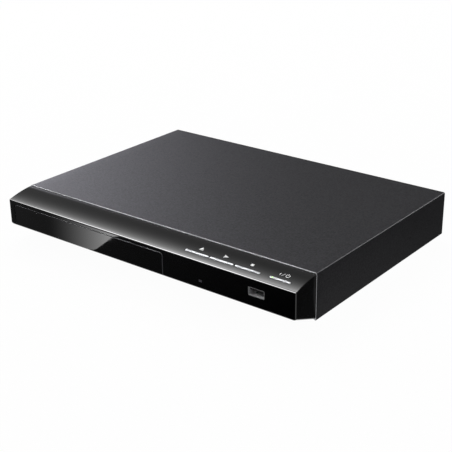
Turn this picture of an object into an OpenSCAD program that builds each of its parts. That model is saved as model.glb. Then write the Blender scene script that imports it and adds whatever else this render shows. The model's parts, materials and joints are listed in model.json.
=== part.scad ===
// Slim tabletop disc player with a motorised loading tray.
// Millimetres. Origin on the resting surface, under the middle of the unit.
// +X to the right as seen from the front, +Y to the back, +Z up.

/* [Body] */
// Width of the whole unit
body_w = 270; // [264:1:290]
// Depth of the folded steel cover
cover_depth = 178; // [176:1:200]
// Height of the cover, from its lower edge to its top
cover_h = 34.5; // [34.5:0.5:40]
// Thickness of the cover and chassis sheet
sheet_t = 0.8; // [0.6:0.1:1]
// Outside radius of the cover's folded edges
fold_r = 1.3; // [1.1:0.1:2.5]
// Height of the rubber feet below the cover
foot_h = 4; // [3:0.5:8]
// Radius of one foot
foot_r = 8; // [6:0.5:12]

/* [Front panel] */
// Depth of the moulded front panel
panel_depth = 23; // [22.5:0.5:26]
// Wall of the moulded front panel
panel_wall = 2.2; // [2:0.1:2.4]
// Height of the upright face's lower edge above the cover's lower edge
face_low = 9.4; // [9:0.1:10]
// Height of the nose, where the face meets the sloping top
face_top = 29.3; // [29:0.1:30]
// How far the sloping top ends below the cover's top
slope_drop = 0.6; // [0.4:0.1:0.9]
// Radius of the sloping top's gentle curve
slope_r = 88; // [70:1:140]
// Radius of the nose
nose_r = 1; // [0.5:0.1:1.5]
// Radius of the face's lower edge
chin_r = 2; // [1:0.1:2.5]
// Radius of the lower corners as seen from the front
corner_r = 3; // [2:0.5:4]

/* [Tray door] */
// Distance from the unit's left side to the door
door_inset = 6; // [5.5:0.5:6.5]
// How far the door reaches past the tray at each side
door_margin = 8; // [7.5:0.5:8.5]
// Height of the door's top edge above the cover's lower edge
door_top = 26.5; // [26.2:0.1:26.8]
// Thickness of the door
door_t = 2.2; // [1.8:0.1:2.3]
// Gap round the door
door_gap = 0.4; // [0.3:0.1:0.6]

/* [Buttons] */
// Distance from the door to the first strip
row_inset = 16; // [15:0.5:20]
// Distance from the last strip to the unit's right side
row_end = 8.6; // [8:0.2:12]
// Distance from the face to the middle of the button row
button_set = 6.5; // [6:0.1:7]
// Width of a button strip
strip_w = 1.8; // [1.4:0.1:2]
// How far a strip stands above the slope
strip_rise = 0.35; // [0.2:0.05:0.6]
// Travel of a button
button_travel = 0.6; // [0.4:0.05:0.7]
// Gap between a strip and its slot
strip_gap = 0.3; // [0.2:0.05:0.4]

/* [Disc tray] */
// Diameter of the large disc well
well_d = 122; // [121:0.5:124]
// Diameter of the small disc well
small_well_d = 82; // [81:0.5:84]
// Depth of the large well
well_depth = 2.2; // [1.8:0.1:2.4]
// Width of the tray
tray_w = 136; // [134:0.5:137]
// How far the tray slides out
tray_travel = 135; // [120:1:138]
// Side clearance of the tray in its loader
tray_side_gap = 0.4; // [0.3:0.1:0.8]
// Width of the window for the turntable and the pickup
window_w = 48; // [44:1:52]

/* [Gears] */
// Module of the loading gears
load_module = 0.8; // [0.7:0.05:0.85]
// Teeth on the drive gear
drive_teeth = 32; // [28:2:32]
// Teeth on the pulley gear
pulley_teeth = 14; // [14:2:16]
// Module of the sled gears
sled_module = 0.6; // [0.55:0.05:0.6]
// Teeth on the sled gear's wheel
sled_wheel_teeth = 36; // [32:4:36]
// Teeth on the small sled pinions
sled_pinion_teeth = 14; // [14:4:18]
// Play between meshing flanks
gear_play = 0.14; // [0.1:0.01:0.2]
// Radial clearance of a gear on its post
bore_play = 0.05; // [0.02:0.01:0.08]
// Belt thickness
belt_t = 1.2; // [0.8:0.1:1.4]

/* [Traverse] */
// How far the turntable drops when the tray is free to move
spindle_drop = 6; // [5:0.5:6.5]
// Stroke of the cam slider
cam_stroke = 18; // [15:1:20]
// Travel of the pickup
pickup_travel = 34; // [30:1:35]
// Diameter of the turntable
turntable_d = 29; // [26:0.5:31]
// Diameter of the disc's centring hub
hub_d = 14.9; // [14.5:0.1:15]
// Radius of the guide rods
rod_r = 1.5; // [1.2:0.1:1.6]

/* [Boards] */
// Width of the power board
power_board_w = 35.2; // [34:0.2:36]
// Height of the boards' upper side above the chassis sheet
board_rise = 7.8; // [7:0.1:8.5]
// Thickness of a board
board_t = 1.6; // [1.2:0.1:1.6]

/* [Sockets] */
// Outside radius of a phono barrel
phono_r = 4.15; // [4.1:0.05:4.2]
// How far a phono barrel stands out of the rear panel
phono_out = 7; // [5:0.5:9]
// How much thicker a barrel's root is inside its block
phono_root = 0.25; // [0.2:0.05:0.3]
// Spacing of the phono sockets
phono_pitch = 14; // [13:0.5:15]
// Width of the front data port
port_w = 13; // [12.5:0.1:13.4]
// Height of the front data port
port_h = 6; // [5.6:0.1:6.2]

/* [Hidden] */
$fn = 64;

// A cut reaches this far past the face it opens.
past = 1;
// Clearance of pieces that lie beside each other.
gap = 0.3;

// The unit's box
left = -body_w / 2;
right = body_w / 2;
socket_out = phono_out;
lip_step = sheet_t + 0.2;
total_depth = panel_depth + cover_depth + socket_out - lip_step;
front = -total_depth / 2;
seam = front + panel_depth;
back = seam + cover_depth;
rear_face = back - lip_step;
low = foot_h;
top = low + cover_h;
ceiling = top - sheet_t;
floor_top = low + sheet_t;
board_top = floor_top + board_rise;

// The front panel's outline
chin_z = low + face_low;
nose_z = low + face_top;
crest_z = top - slope_drop;
heel_z = low + 0.5;
chord = norm([panel_depth, crest_z - nose_z]);
chord_a = atan2(crest_z - nose_z, panel_depth);
slope_reach = sqrt(slope_r * slope_r - chord * chord / 4);
arc_y = front + panel_depth / 2 + slope_reach * sin(chord_a);
arc_z = (nose_z + crest_z) / 2 - slope_reach * cos(chord_a);
belly_a = atan2(chin_z - heel_z, panel_depth);

// Height of the sloping top and of the belly at y, moved inwards by a wall
function slope_z(y, wall = 0) = arc_z + sqrt(pow(slope_r - wall, 2) - pow(y - arc_y, 2));
function belly_z(y, wall = 0) =
  chin_z - (y - front) * tan(belly_a) + wall / cos(belly_a);

// The tray door and the hole behind it
door_w = tray_w + 2 * door_margin;
door_x0 = left + door_inset;
door_x1 = door_x0 + door_w;
door_z1 = low + door_top;
loader_x = (door_x0 + door_x1) / 2;
recess_y = front + door_t + door_gap;
ledge_t = 1.4;
mouth_w = tray_w + 4;
mouth_z0 = low + 13;
mouth_z1 = low + 25.3;

// The tray
tray_front = recess_y - 0.1;
spindle_y = front + 73.5;
tray_rear = spindle_y + 94;
tray_top = low + 23.5;
well_z = tray_top - well_depth;
small_well_z = well_z - 1;
tray_low = tray_top - 7.5;
plate_low = tray_top - 4.7;
skirt_t = 2;
tray_x0 = loader_x - tray_w / 2;
tray_x1 = loader_x + tray_w / 2;

// The loader frame
wall_t = 2;
wall_x0 = tray_x0 - tray_side_gap;
wall_x1 = tray_x1 + tray_side_gap;
frame_front = front + 6.5;
frame_step = seam + 0.8;
frame_rear = tray_rear + 8;
frame_low = floor_top + 0.6;
frame_floor = frame_low + 1.5;
frame_top = tray_top + 3.1;
deck_y0 = frame_step;
deck_y1 = spindle_y - 21;
deck_z0 = tray_low - 3.5;
deck_z1 = tray_low - 2;
rail_z1 = tray_low - 0.2;
lug_z = low + 4;
lug_r = 3.5;
lug_y = [deck_y0 + 10, frame_rear - 12];
lug_x = [wall_x0 - wall_t - lug_r + 0.5, wall_x1 + wall_t + lug_r - 0.5];

// The loading gears
drive_r = load_module * drive_teeth / 2;
pulley_pitch_r = load_module * pulley_teeth / 2;
rack_x = tray_x1 - 11;
drive_x = rack_x - drive_r;
gear_y = deck_y0 + 15.2;
pulley_x = drive_x - drive_r - pulley_pitch_r;
motor_x = pulley_x - 34;
pulley_r = 12;
motor_pulley_r = 3;
belt_z0 = deck_z1 + 0.4;
belt_z1 = belt_z0 + 1.5;
gear_z0 = belt_z1 + 0.3;
gear_z1 = plate_low - 0.3;
post_r = 1.5;
load_motor_r = 12;

// The traverse, drawn level as it plays and turned down about its rear pivot
pivot_y = spindle_y + 90;
pivot_z = low + 11;
tilt = asin(spindle_drop / (pivot_y - spindle_y));
traverse_x0 = loader_x - 45;
traverse_x1 = loader_x + 54;
traverse_y0 = spindle_y - 15;
traverse_y1 = pivot_y + 6;
sheet_z = low + 12;
sheet_z1 = sheet_z + 1.6;
rim_z0 = low + 10.5;
rim_z1 = low + 14.5;
rim_t = 2;
pin_r = 1.2;
pin_z = low + 12.5;
pin_dx = 25;
pin_play = 0.25;
slider_t = 2;
slider_y1 = traverse_y0 - 3.4;
slider_y0 = slider_y1 - slider_t;
pivot_r = 2;
bush_r = 3.5;
ear_t = 4;
ear_gap = 3.5;
table_z = tray_top - 0.7;
hub_z = table_z + 2.4;

// The pickup
rod_z = low + 15.4;
rod_x = [loader_x - 27, loader_x + 24];
rod_y0 = spindle_y + 13;
rod_y1 = rod_y0 + 74;
window_y0 = spindle_y + 16;
window_y1 = rod_y1 - 3;
pickup_y0 = spindle_y + 17;
pickup_len = 25;
lens_y = spindle_y + 24;
lens_z = table_z - 1.8;
sled_pitch_r = sled_module * sled_pinion_teeth / 2;
sled_wheel_r = sled_module * sled_wheel_teeth / 2;
sled_rack_x = rod_x[1] + 12;
sled_x = sled_rack_x + sled_pitch_r;
sled_y = spindle_y + 52;
sled_motor_y = sled_y + sled_wheel_r + sled_pitch_r;
wheel_z0 = sheet_z1 + 0.4;
wheel_z1 = wheel_z0 + 1.6;
pinion_z0 = wheel_z1 + 0.2;
pinion_z1 = pinion_z0 + 2;

// The clamp
bridge_z1 = frame_top + 1.2;
clamp_r = 13;
clamp_z0 = tray_top + 0.6;

// The buttons: the left end and right end of each strip, as shares of their row
row_x0 = door_x1 + row_inset;
row_x1 = right - row_end;
function on_row(a, b) = [row_x0 + (row_x1 - row_x0) * a, row_x0 + (row_x1 - row_x0) * b];
eject_x = on_row(0, 0.231);
play_x = on_row(0.2425, 0.4725);
stop_x = on_row(0.4863, 0.7208);
power_x = on_row(0.8078, 1);
light_x = power_x[0] + 2.4;
light_r = 0.45;
lamp_r = 1.5;
switch_w = 5;
function middle(span) = (span[0] + span[1]) / 2;
// Where each stem stands over its switch; the power strip's keeps clear of the lamp
press_x = [middle(eject_x), middle(play_x), middle(stop_x),
  light_x + lamp_r + 2 * gap + switch_w / 2];
button_y = front + button_set;
button_a = asin((arc_y - button_y) / slope_r);
flange_z = -panel_wall - 1.5;
stem_z = flange_z - 0.7;
plunger_z = stem_z - button_travel - 0.1;
switch_z = plunger_z - 2.6;
front_board_z = switch_z - board_t;

// The data port and the remote receiver
port_x = right - 31.5;
port_z = low + 20;
port_len = 13.5;
port_skin = 0.35;
ir_x = right - 78.2;
ir_z = low + 15.1;
ir_w = 2.7;
ir_h = 1.7;

// The boards
power_x1 = right - sheet_t - 4;
power_x0 = power_x1 - power_board_w;
board_x0 = wall_x1 + 9.6;
board_x1 = power_x0 - 3;
board_y0 = front + 43;
board_y1 = rear_face - 2;
power_y0 = front + 33;
jack_z = board_top + 7.4;
jack_x = [for (i = [0:2]) board_x1 - 16 - phono_pitch * (2 - i)];
coax_x = jack_x[0] - phono_pitch - 4;
av_x = coax_x - 25;
av_z = board_top + 3.8;
inlet_x = (power_x0 + power_x1) / 2;
inlet_z = board_top + 6.4;
post_rear = board_y1 - 24;
posts = concat(
  [for (x = [board_x0 + 5, board_x1 - 5]) each [[x, board_y0 + 5], [x, post_rear]]],
  [for (x = [power_x0 + 4, power_x1 - 4]) each [[x, power_y0 + 5], [x, post_rear]]]);
hook_x = [left + 6, right - 70, right - 20];

black = [0.06, 0.06, 0.065];
steel = [0.72, 0.73, 0.74];

// ---- helpers ----

// A block from its low corner to its high corner
module block(lo, hi) {
  translate(lo)
    cube(hi - lo);
}

// A rod along Z
module rod_up(r, z0, z1) {
  translate([0, 0, z0])
    cylinder(r = r, h = z1 - z0);
}

// A rod along Y
module rod_back(r, y0, y1) {
  translate([0, y1, 0])
    rotate([90, 0, 0])
      cylinder(r = r, h = y1 - y0);
}

// Carries a (y, z) outline from x0 to x1
module across(x0, x1) {
  translate([x0, 0, 0])
    rotate([90, 0, 90])
      linear_extrude(x1 - x0)
        children();
}

// Carries an (x, z) outline from y0 to y1
module backwards(y0, y1) {
  translate([0, y1, 0])
    rotate([90, 0, 0])
      linear_extrude(y1 - y0)
        children();
}

// Carries an (x, y) outline from z0 to z1
module upwards(z0, z1) {
  translate([0, 0, z0])
    linear_extrude(z1 - z0)
      children();
}

// A rectangle with round corners, from its low corner to its high corner
module round_rect(lo, hi, r) {
  translate([lo[0] + r, lo[1]])
    square([hi[0] - lo[0] - 2 * r, hi[1] - lo[1]]);
  translate([lo[0], lo[1] + r])
    square([hi[0] - lo[0], hi[1] - lo[1] - 2 * r]);
  for (x = [lo[0] + r, hi[0] - r])
    for (y = [lo[1] + r, hi[1] - r])
      translate([x, y])
        circle(r);
}

// A strip with round ends from (x0, 0) to (x1, 0)
module strip(x0, x1, w) {
  round_rect([x0, -w / 2], [x1, w / 2], w / 2 - 0.001);
}

// Points of a fillet of radius r at corner b between a and c
function fillet(a, b, c, r, n = 6) =
  let (u = (a - b) / norm(a - b))
  let (v = (c - b) / norm(c - b))
  let (half = acos(u * v) / 2)
  let (mid = b + (u + v) / norm(u + v) * r / sin(half))
  let (p = b + u * r / tan(half) - mid)
  let (q = b + v * r / tan(half) - mid)
  let (turn = acos(max(-1, min(1, p * q / r / r))))
  [for (i = [0:n]) mid + (p * sin(turn * (1 - i / n)) + q * sin(turn * i / n)) / sin(turn)];

// Radial outline of an involute gear with stub teeth, a tooth on +X
function involute(a) = tan(a) * 180 / PI - a;
function half_tooth(r, base, pitch, teeth) =
  90 / teeth + involute(20) - involute(acos(min(1, base / r)))
  - gear_play / 4 / pitch * 180 / PI;
function polar(r, a) = [r * cos(a), r * sin(a)];
module gear(teeth, m, z0, z1) {
  pitch = m * teeth / 2;
  base = pitch * cos(20);
  tip = pitch + 0.8 * m;
  root = pitch - 1.05 * m;
  start = max(base, root);
  steps = 5;
  upwards(z0, z1)
    polygon([for (t = [0:teeth - 1]) each concat(
      [polar(root, t * 360 / teeth - half_tooth(start, base, pitch, teeth))],
      [for (i = [0:steps]) let (r = start + (tip - start) * i / steps)
        polar(r, t * 360 / teeth - half_tooth(r, base, pitch, teeth))],
      [for (i = [steps:-1:0]) let (r = start + (tip - start) * i / steps)
        polar(r, t * 360 / teeth + half_tooth(r, base, pitch, teeth))],
      [polar(root, t * 360 / teeth + half_tooth(start, base, pitch, teeth))])]);
}

// A rack along Y whose teeth point to +X from pitch line 0, a gap at y = 0
module rack(m, first, last, body_t) {
  step = PI * m;
  half = step / 4 - gear_play / 4;
  add = 0.8 * m;
  ded = 1.05 * m;
  lean = tan(20);
  polygon(concat(
    [[-ded - body_t, (first - 0.5) * step], [-ded, (first - 0.5) * step]],
    [for (k = [first:last - 1]) each let (c = (k + 0.5) * step) [
      [-ded, c - half - ded * lean],
      [add, c - half + add * lean],
      [add, c + half - add * lean],
      [-ded, c + half + ded * lean]]],
    [[-ded, (last + 0.5) * step], [-ded - body_t, (last + 0.5) * step]]));
}

// The outline of a belt round two pulleys on the X axis, d apart
module belt_loop(r0, r1, d) {
  a = acos((r0 - r1) / d);
  circle(r0);
  translate([d, 0])
    circle(r1);
  polygon([polar(r0, a), polar(r0, -a), [d, 0] + polar(r1, -a), [d, 0] + polar(r1, a)]);
}

// Places a child in the tilted plane of the buttons
module on_slope() {
  translate([0, button_y, slope_z(button_y)])
    rotate([button_a, 0, 0])
      children();
}

// Turns the traverse down from its playing height to rest
module lowered() {
  translate([0, pivot_y, pivot_z])
    rotate([tilt, 0, 0])
      translate([0, -pivot_y, -pivot_z])
        children();
}

// A pan-head screw with a cross recess, head up, its seat at z = 0
module screw(r = 1.3, head = 2.7, length = 6) {
  difference() {
    union() {
      rod_up(head, 0, 1);
      translate([0, 0, 1])
        cylinder(r1 = head, r2 = head * 0.7, h = 0.7);
      rod_up(r, -length, 0);
    }
    for (a = [0, 90])
      rotate([0, 0, a])
        block([-1.5, -0.3, 0.8], [1.5, 0.3, 2.5]);
  }
}

// Repeats a child at each post that carries a board
module at_posts() {
  for (p = posts)
    translate([p[0], p[1], 0])
      children();
}

// ---- casing ----

module top_cover() {
  inner_r = fold_r - sheet_t;
  lip_low = top - 9;
  screw_x = [left + 14, 0, right - 14];
  color([0.2, 0.2, 0.21])
    difference() {
      union() {
        difference() {
          backwards(seam, back)
            union() {
              round_rect([left, low + fold_r], [right, top], fold_r);
              translate([left, low])
                square([body_w, 3 * fold_r]);
            }
          backwards(seam - past, back + past)
            union() {
              round_rect([left + sheet_t, low], [right - sheet_t, ceiling],
                inner_r);
              translate([left + sheet_t, low - past])
                square([body_w - 2 * sheet_t, cover_h / 2]);
            }
        }
        backwards(back - sheet_t, back)
          round_rect([left + 3, lip_low], [right - 3, ceiling + 0.2], 1);
      }
      for (x = screw_x)
        translate([x, 0, top - 5])
          rod_back(1.6, back - 2, back + past);
    }
}

module base_pan() {
  flange_h = 13;
  x0 = left + sheet_t + 0.2;
  x1 = right - sheet_t - 0.2;
  y0 = seam + 1;
  y1 = rear_face - sheet_t - 0.1;
  vent_x = board_x0 + 10;
  color(steel)
    difference() {
      union() {
        block([x0, y0, low], [x1, y1, floor_top]);
        for (x = [x0, x1 - sheet_t])
          block([x, y0, low], [x + sheet_t, y1, low + flange_h]);
        block([board_x0, y0, low], [x1 - 4, y0 + sheet_t, low + 5]);
        at_posts()
          rod_up(3, low, board_top - board_t);
        for (x = lug_x)
          for (y = lug_y)
            translate([x, y, 0])
              rod_up(lug_r - 0.9, low, lug_z);
        for (y = [-0.22, 0.28])
          pressed_rib(y * cover_depth);
      }
      at_posts()
        rod_up(1.35, low - past, board_top + past);
      for (x = hook_x)
        block([x - 3.3, y0 - past, floor_top], [x + 3.3, y0 + sheet_t + past, low + 6]);
      for (x = lug_x)
        for (y = lug_y)
          translate([x, y, 0])
            rod_up(1.35, low - past, lug_z + past);
      for (i = [0:7])
        for (j = [0:1])
          upwards(low - past, floor_top + past)
            translate([vent_x + 6 * i, board_y0 + 28 + 30 * j])
              round_rect([0, 0], [2.4, 22], 1.19);
    }
}

// A shallow stiffening rib pressed up from the pan, under the boards
module pressed_rib(y) {
  across(board_x0 + 12, right - 12)
    polygon([[y - 5, floor_top], [y - 3, floor_top + 1.2], [y + 3, floor_top + 1.2],
      [y + 5, floor_top]]);
}

module rear_panel() {
  z1 = ceiling - 0.3;
  x0 = left + sheet_t + 0.2;
  x1 = right - sheet_t - 0.2;
  color([0.13, 0.13, 0.14])
    difference() {
      union() {
        block([x0, rear_face - sheet_t, floor_top + 0.1], [x1, rear_face, z1]);
        for (x = [x0 + sheet_t + 0.1, x1 - 2 * sheet_t - 0.1])
          block([x, rear_face - 8, floor_top + 0.1],
            [x + sheet_t, rear_face, z1]);
        block([x0 + 2, rear_face - 7, floor_top + 0.1],
          [x1 - 2, rear_face, floor_top + 0.1 + sheet_t]);
      }
      for (x = concat(jack_x, [coax_x]))
        translate([x, 0, jack_z])
          rod_back(phono_r + 0.85, rear_face - 3, rear_face + past);
      backwards(rear_face - 3, rear_face + past)
        round_rect([av_x - 8.2, av_z - 3.4], [av_x + 8.2, av_z + 3.4], 0.6);
      backwards(rear_face - 3, rear_face + past)
        round_rect([inlet_x - 10.3, inlet_z - 6.3], [inlet_x + 10.3, inlet_z + 6.3],
          2);
      for (i = [0:13])
        backwards(rear_face - 3, rear_face + past)
          round_rect([left + 30 + 5 * i, low + 12], [left + 32 + 5 * i, low + 25],
            0.99);
      for (x = [left + 14, 0, right - 14])
        translate([x, 0, top - 5])
          rod_back(1.3, rear_face - 9, rear_face + past);
    }
}

// Side outline of the front panel
module panel_outline() {
  steps = 14;
  arc = [for (i = [0:steps]) let (y = front + panel_depth * i / steps) [y, slope_z(y)]];
  chin = [front, chin_z];
  heel = [seam, belly_z(seam)];
  polygon(concat(
    fillet(heel, chin, arc[0], chin_r),
    fillet(chin, arc[0], arc[1], nose_r),
    [for (i = [2:steps]) arc[i]],
    [heel]));
}

// Side outline of the hollow inside the front panel
module panel_hollow() {
  steps = 8;
  y0 = front + panel_wall;
  y1 = seam + past;
  polygon(concat(
    [[y0, belly_z(y0, panel_wall)]],
    [for (i = [0:steps]) let (y = y0 + (y1 - y0) * i / steps)
      [y, slope_z(y, panel_wall)]],
    [[y1, belly_z(y1, panel_wall)]]));
}

// The solid form of the front panel, before it is hollowed. Its ends are rounded along the
// belly and up the face.
module panel_form() {
  edge_r = 1;
  intersection() {
    across(left, right)
      panel_outline();
    translate([0, front, chin_z])
      rotate([-belly_a, 0, 0])
        backwards(-30, 60)
          union() {
            round_rect([left, 0], [right, 20], corner_r);
            translate([left, 10])
              square([body_w, 50]);
          }
    upwards(low, top)
      union() {
        round_rect([left, front], [right, seam - 4], edge_r);
        translate([left, seam - 12])
          square([body_w, 12]);
      }
  }
}

module front_panel() {
  tongue_z1 = ceiling - 0.2;
  tab_x = [left + 20, loader_x, right - 60, right - 20];
  color(black)
    difference() {
      union() {
        difference() {
          panel_form();
          across(left + panel_wall, right - panel_wall)
            panel_hollow();
        }
        // the frame that the door closes against
        intersection() {
          across(left + 1, right - 1)
            panel_outline();
          difference() {
            block([door_x0 - 2.6, recess_y, low], [door_x1 + 2.6, recess_y + ledge_t, top]);
            block([loader_x - mouth_w / 2, recess_y - past, mouth_z0],
              [loader_x + mouth_w / 2, recess_y + ledge_t + past, mouth_z1]);
          }
        }
        // tongues that tuck under the cover
        for (x = tab_x)
          block([x - 12, seam - 4, crest_z - panel_wall - 0.6],
            [x + 12, seam + 5, tongue_z1 - 0.6]);
        // hooks that hold the chassis
        for (x = hook_x)
          block([x - 3, seam - 1, floor_top + 0.3], [x + 3, seam + 6, floor_top + 1.8]);
        // bosses for the switch board
        on_slope()
          for (x = [eject_x[0] - 4, stop_x[0] - 0.6, right - 7])
            translate([x, 6.4, 0])
              rod_up(2, switch_z, -panel_wall + 0.4);
        // posts for the port board
        for (x = [port_x - 10, port_x + 10])
          translate([x, front + 9, 0])
            rod_up(2, belly_z(front + 9, 1), port_z - port_h / 2 - 2);
      }
      // recess for the tray door
      backwards(front - past, recess_y)
        union() {
          round_rect([door_x0 - door_gap, chin_z], [door_x1 + door_gap,
            door_z1 + door_gap], 2);
          translate([door_x0 - door_gap, low - past])
            square([door_w + 2 * door_gap, face_low + 4]);
        }
      // slots for the button strips and the light
      on_slope()
        upwards(-panel_wall - past, past)
          for (span = [[eject_x[0], stop_x[1]], power_x])
            strip(span[0] - strip_gap, span[1] + strip_gap,
              strip_w + 2 * strip_gap);
      // windows for the remote receiver and the data port
      block([ir_x - ir_w / 2 - 0.1, front - past, ir_z - ir_h / 2 - 0.1],
        [ir_x + ir_w / 2 + 0.1, front + 4, ir_z + ir_h / 2 + 0.1]);
      backwards(front - past, front + 4)
        round_rect([port_x - port_w / 2 - 0.2, port_z - port_h / 2 - 0.2],
          [port_x + port_w / 2 + 0.2, port_z + port_h / 2 + 0.2], 0.5);
    }
}

module feet() {
  color([0.05, 0.05, 0.05])
    for (x = [left + 26, right - 26])
      for (y = [seam + 20, back - 26])
        translate([x, y, 0])
          difference() {
            union() {
              rod_up(foot_r, 0.8, foot_h);
              cylinder(r1 = foot_r - 0.8, r2 = foot_r, h = 0.8);
            }
            rod_up(foot_r - 4, -past, 0.8);
          }
}

module cover_screws() {
  color([0.35, 0.35, 0.36])
    for (x = [left + 14, 0, right - 14])
      translate([x, back, top - 5])
        rotate([-90, 0, 0])
          screw(r = 1.2, head = 2.8, length = 5);
}

// ---- behind the front panel ----

module ir_window() {
  color([0.18, 0.16, 0.19])
    block([ir_x - ir_w / 2, front + 0.1, ir_z - ir_h / 2],
      [ir_x + ir_w / 2, front + 2.4, ir_z + ir_h / 2]);
}

// A lamp on the switch board whose light pipe ends in the power strip
module power_light() {
  color([0.2, 0.8, 0.3])
    on_slope()
      translate([light_x, 0, 0])
        union() {
          rod_up(lamp_r, switch_z, flange_z - button_travel - 0.4);
          rod_up(light_r, switch_z, strip_rise);
        }
}

module data_port_shell() {
  x0 = port_x - port_w / 2;
  x1 = port_x + port_w / 2;
  z0 = port_z - port_h / 2;
  z1 = port_z + port_h / 2;
  color(steel)
    difference() {
      backwards(front + 0.4, front + port_len)
        round_rect([x0, z0], [x1, z1], 0.6);
      backwards(front - past, front + port_len - 0.5)
        round_rect([x0 + port_skin, z0 + port_skin], [x1 - port_skin, z1 - port_skin],
          0.4);
      for (x = [port_x - 3.2, port_x + 3.2])
        block([x - 1, front + 5, z0 - past], [x + 1, front + 9, z1 + past]);
    }
}

module data_port_tongue() {
  x0 = port_x - port_w / 2 + 0.7;
  z1 = port_z + port_h / 2 - 0.6;
  color([0.9, 0.9, 0.88])
    union() {
      block([x0, front + 1.6, z1 - 2], [x0 + port_w - 1.4, front + port_len - 0.6, z1]);
      block([x0, front + 10, port_z - port_h / 2 + 0.6],
        [x0 + port_w - 1.4, front + port_len - 0.6, z1]);
    }
}

module front_board() {
  notch = port_w / 2 + 2;
  color([0.12, 0.3, 0.16])
    union() {
      on_slope()
        difference() {
          block([eject_x[0] - 8, -4.6, front_board_z], [right - 4, 9, switch_z]);
          block([port_x - notch, -5, front_board_z - past],
            [port_x + notch, 6, switch_z + past]);
        }
      block([port_x - 13, front + 3, port_z - port_h / 2 - 1.8],
        [port_x + 13, front + 18, port_z - port_h / 2 - 0.2]);
    }
}

module tact_switches() {
  color([0.1, 0.1, 0.1])
    on_slope()
      for (x = press_x)
        translate([x, 0, 0]) {
          block([-switch_w / 2, -switch_w / 2, switch_z],
            [switch_w / 2, switch_w / 2, plunger_z - 0.8]);
          rod_up(1.4, plunger_z - 0.8, plunger_z);
        }
}

module ir_receiver() {
  y0 = front + panel_wall + 0.4;
  color([0.08, 0.08, 0.1])
    union() {
      block([ir_x - 3.4, y0 + 1.2, ir_z - 4], [ir_x + 3.4, y0 + 4.4, ir_z + 3.4]);
      translate([ir_x, 0, ir_z])
        intersection() {
          rod_back(2.6, y0, y0 + 2);
          translate([0, y0 + 2.6, 0])
            sphere(2.7);
        }
      for (dx = [-2.54, 0, 2.54])
        block([ir_x + dx - 0.25, y0 + 2.4, ir_z + 3], [ir_x + dx + 0.25, y0 + 2.9,
          front_board_low(y0 + 2.4)]);
    }
}

// Height of the switch board's underside at y
function front_board_low(y) = slope_z(button_y)
  + (front_board_z + (button_y - y) * -sin(button_a)) / cos(button_a) - 0.1;

// One button: a strip, the flange that keeps it in its slot, and its stem
module button(span, stem_x) {
  color([0.85, 0.86, 0.87])
    on_slope()
      union() {
        upwards(flange_z + 0.2, strip_rise)
          strip(span[0], span[1], strip_w);
        upwards(flange_z, flange_z + 1.1)
          round_rect([span[0] + 0.1, -2], [span[1] - 0.1, 2], 0.5);
        translate([stem_x, 0, 0])
          rod_up(1.2, stem_z, flange_z + 0.2);
      }
}

module eject_button() {
  button(eject_x, press_x[0]);
}

module play_button() {
  button(play_x, press_x[1]);
}

module stop_button() {
  button(stop_x, press_x[2]);
}

module power_button() {
  difference() {
    button(power_x, press_x[3]);
    on_slope()
      translate([light_x, 0, 0])
        rod_up(light_r + 0.12, stem_z, past);
  }
}

// ---- rear sockets ----

module phono_body(x0, x1) {
  block([x0, rear_face - 14, board_top + 0.1], [x1, rear_face - sheet_t - 0.1, jack_z + 6.5]);
}

module phono_block() {
  half = phono_pitch / 2 - 0.2;
  color(black)
    difference() {
      union() {
        phono_body(jack_x[0] - half, jack_x[2] + half);
        phono_body(coax_x - half, coax_x + half);
        for (x = concat(jack_x, [coax_x]))
          translate([x, 0, jack_z])
            rod_back(phono_r + 0.7, rear_face - 2, rear_face + 0.3);
      }
      for (x = concat(jack_x, [coax_x]))
        translate([x, 0, jack_z])
          rod_back(phono_r + phono_root + 0.02, rear_face - 9, rear_face + 2);
    }
}

module phono_shells() {
  color([0.8, 0.8, 0.78])
    for (x = concat(jack_x, [coax_x]))
      translate([x, 0, jack_z])
        difference() {
          union() {
            rod_back(phono_r + phono_root, rear_face - 8.9, rear_face + 0.4);
            rod_back(phono_r, rear_face, rear_face + phono_out);
          }
          rod_back(phono_r - 0.5, rear_face - 10, rear_face + phono_out + past);
        }
}

module phono_insert(x, c) {
  color(c)
    translate([x, 0, jack_z])
      difference() {
        rod_back(phono_r - 0.52, rear_face - 8.9, rear_face + phono_out - 0.6);
        rod_back(1.6, rear_face - 6, rear_face + phono_out);
      }
}

module insert_yellow() {
  phono_insert(jack_x[0], [0.95, 0.78, 0.1]);
}

module insert_white() {
  phono_insert(jack_x[1], [0.93, 0.93, 0.9]);
}

module insert_red() {
  phono_insert(jack_x[2], [0.75, 0.08, 0.08]);
}

module insert_orange() {
  phono_insert(coax_x, [0.9, 0.4, 0.05]);
}

module digital_av_socket() {
  skin = 0.4;
  w = 15;
  h = 5.6;
  rear = rear_face + 0.4;
  color(steel)
    union() {
      difference() {
        backwards(rear - 11, rear)
          av_mouth(w, h);
        backwards(rear - 9, rear + past)
          av_mouth(w - 2 * skin, h - 2 * skin);
      }
      block([av_x - 5.6, rear - 9.5, av_z - 0.4], [av_x + 5.6, rear - 1.2, av_z + 0.9]);
      for (x = [av_x - 6, av_x + 5.4])
        block([x, rear - 8, board_top + 0.02], [x + 0.6, rear - 6, av_z - h / 2 + 0.5]);
    }
}

// The mouth is a rectangle whose lower corners are cut off
module av_mouth(w, h) {
  cut = 1.5;
  polygon([[av_x - w / 2, av_z + h / 2], [av_x - w / 2, av_z - h / 2 + cut],
    [av_x - w / 2 + cut, av_z - h / 2], [av_x + w / 2 - cut, av_z - h / 2],
    [av_x + w / 2, av_z - h / 2 + cut], [av_x + w / 2, av_z + h / 2]]);
}

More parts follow.
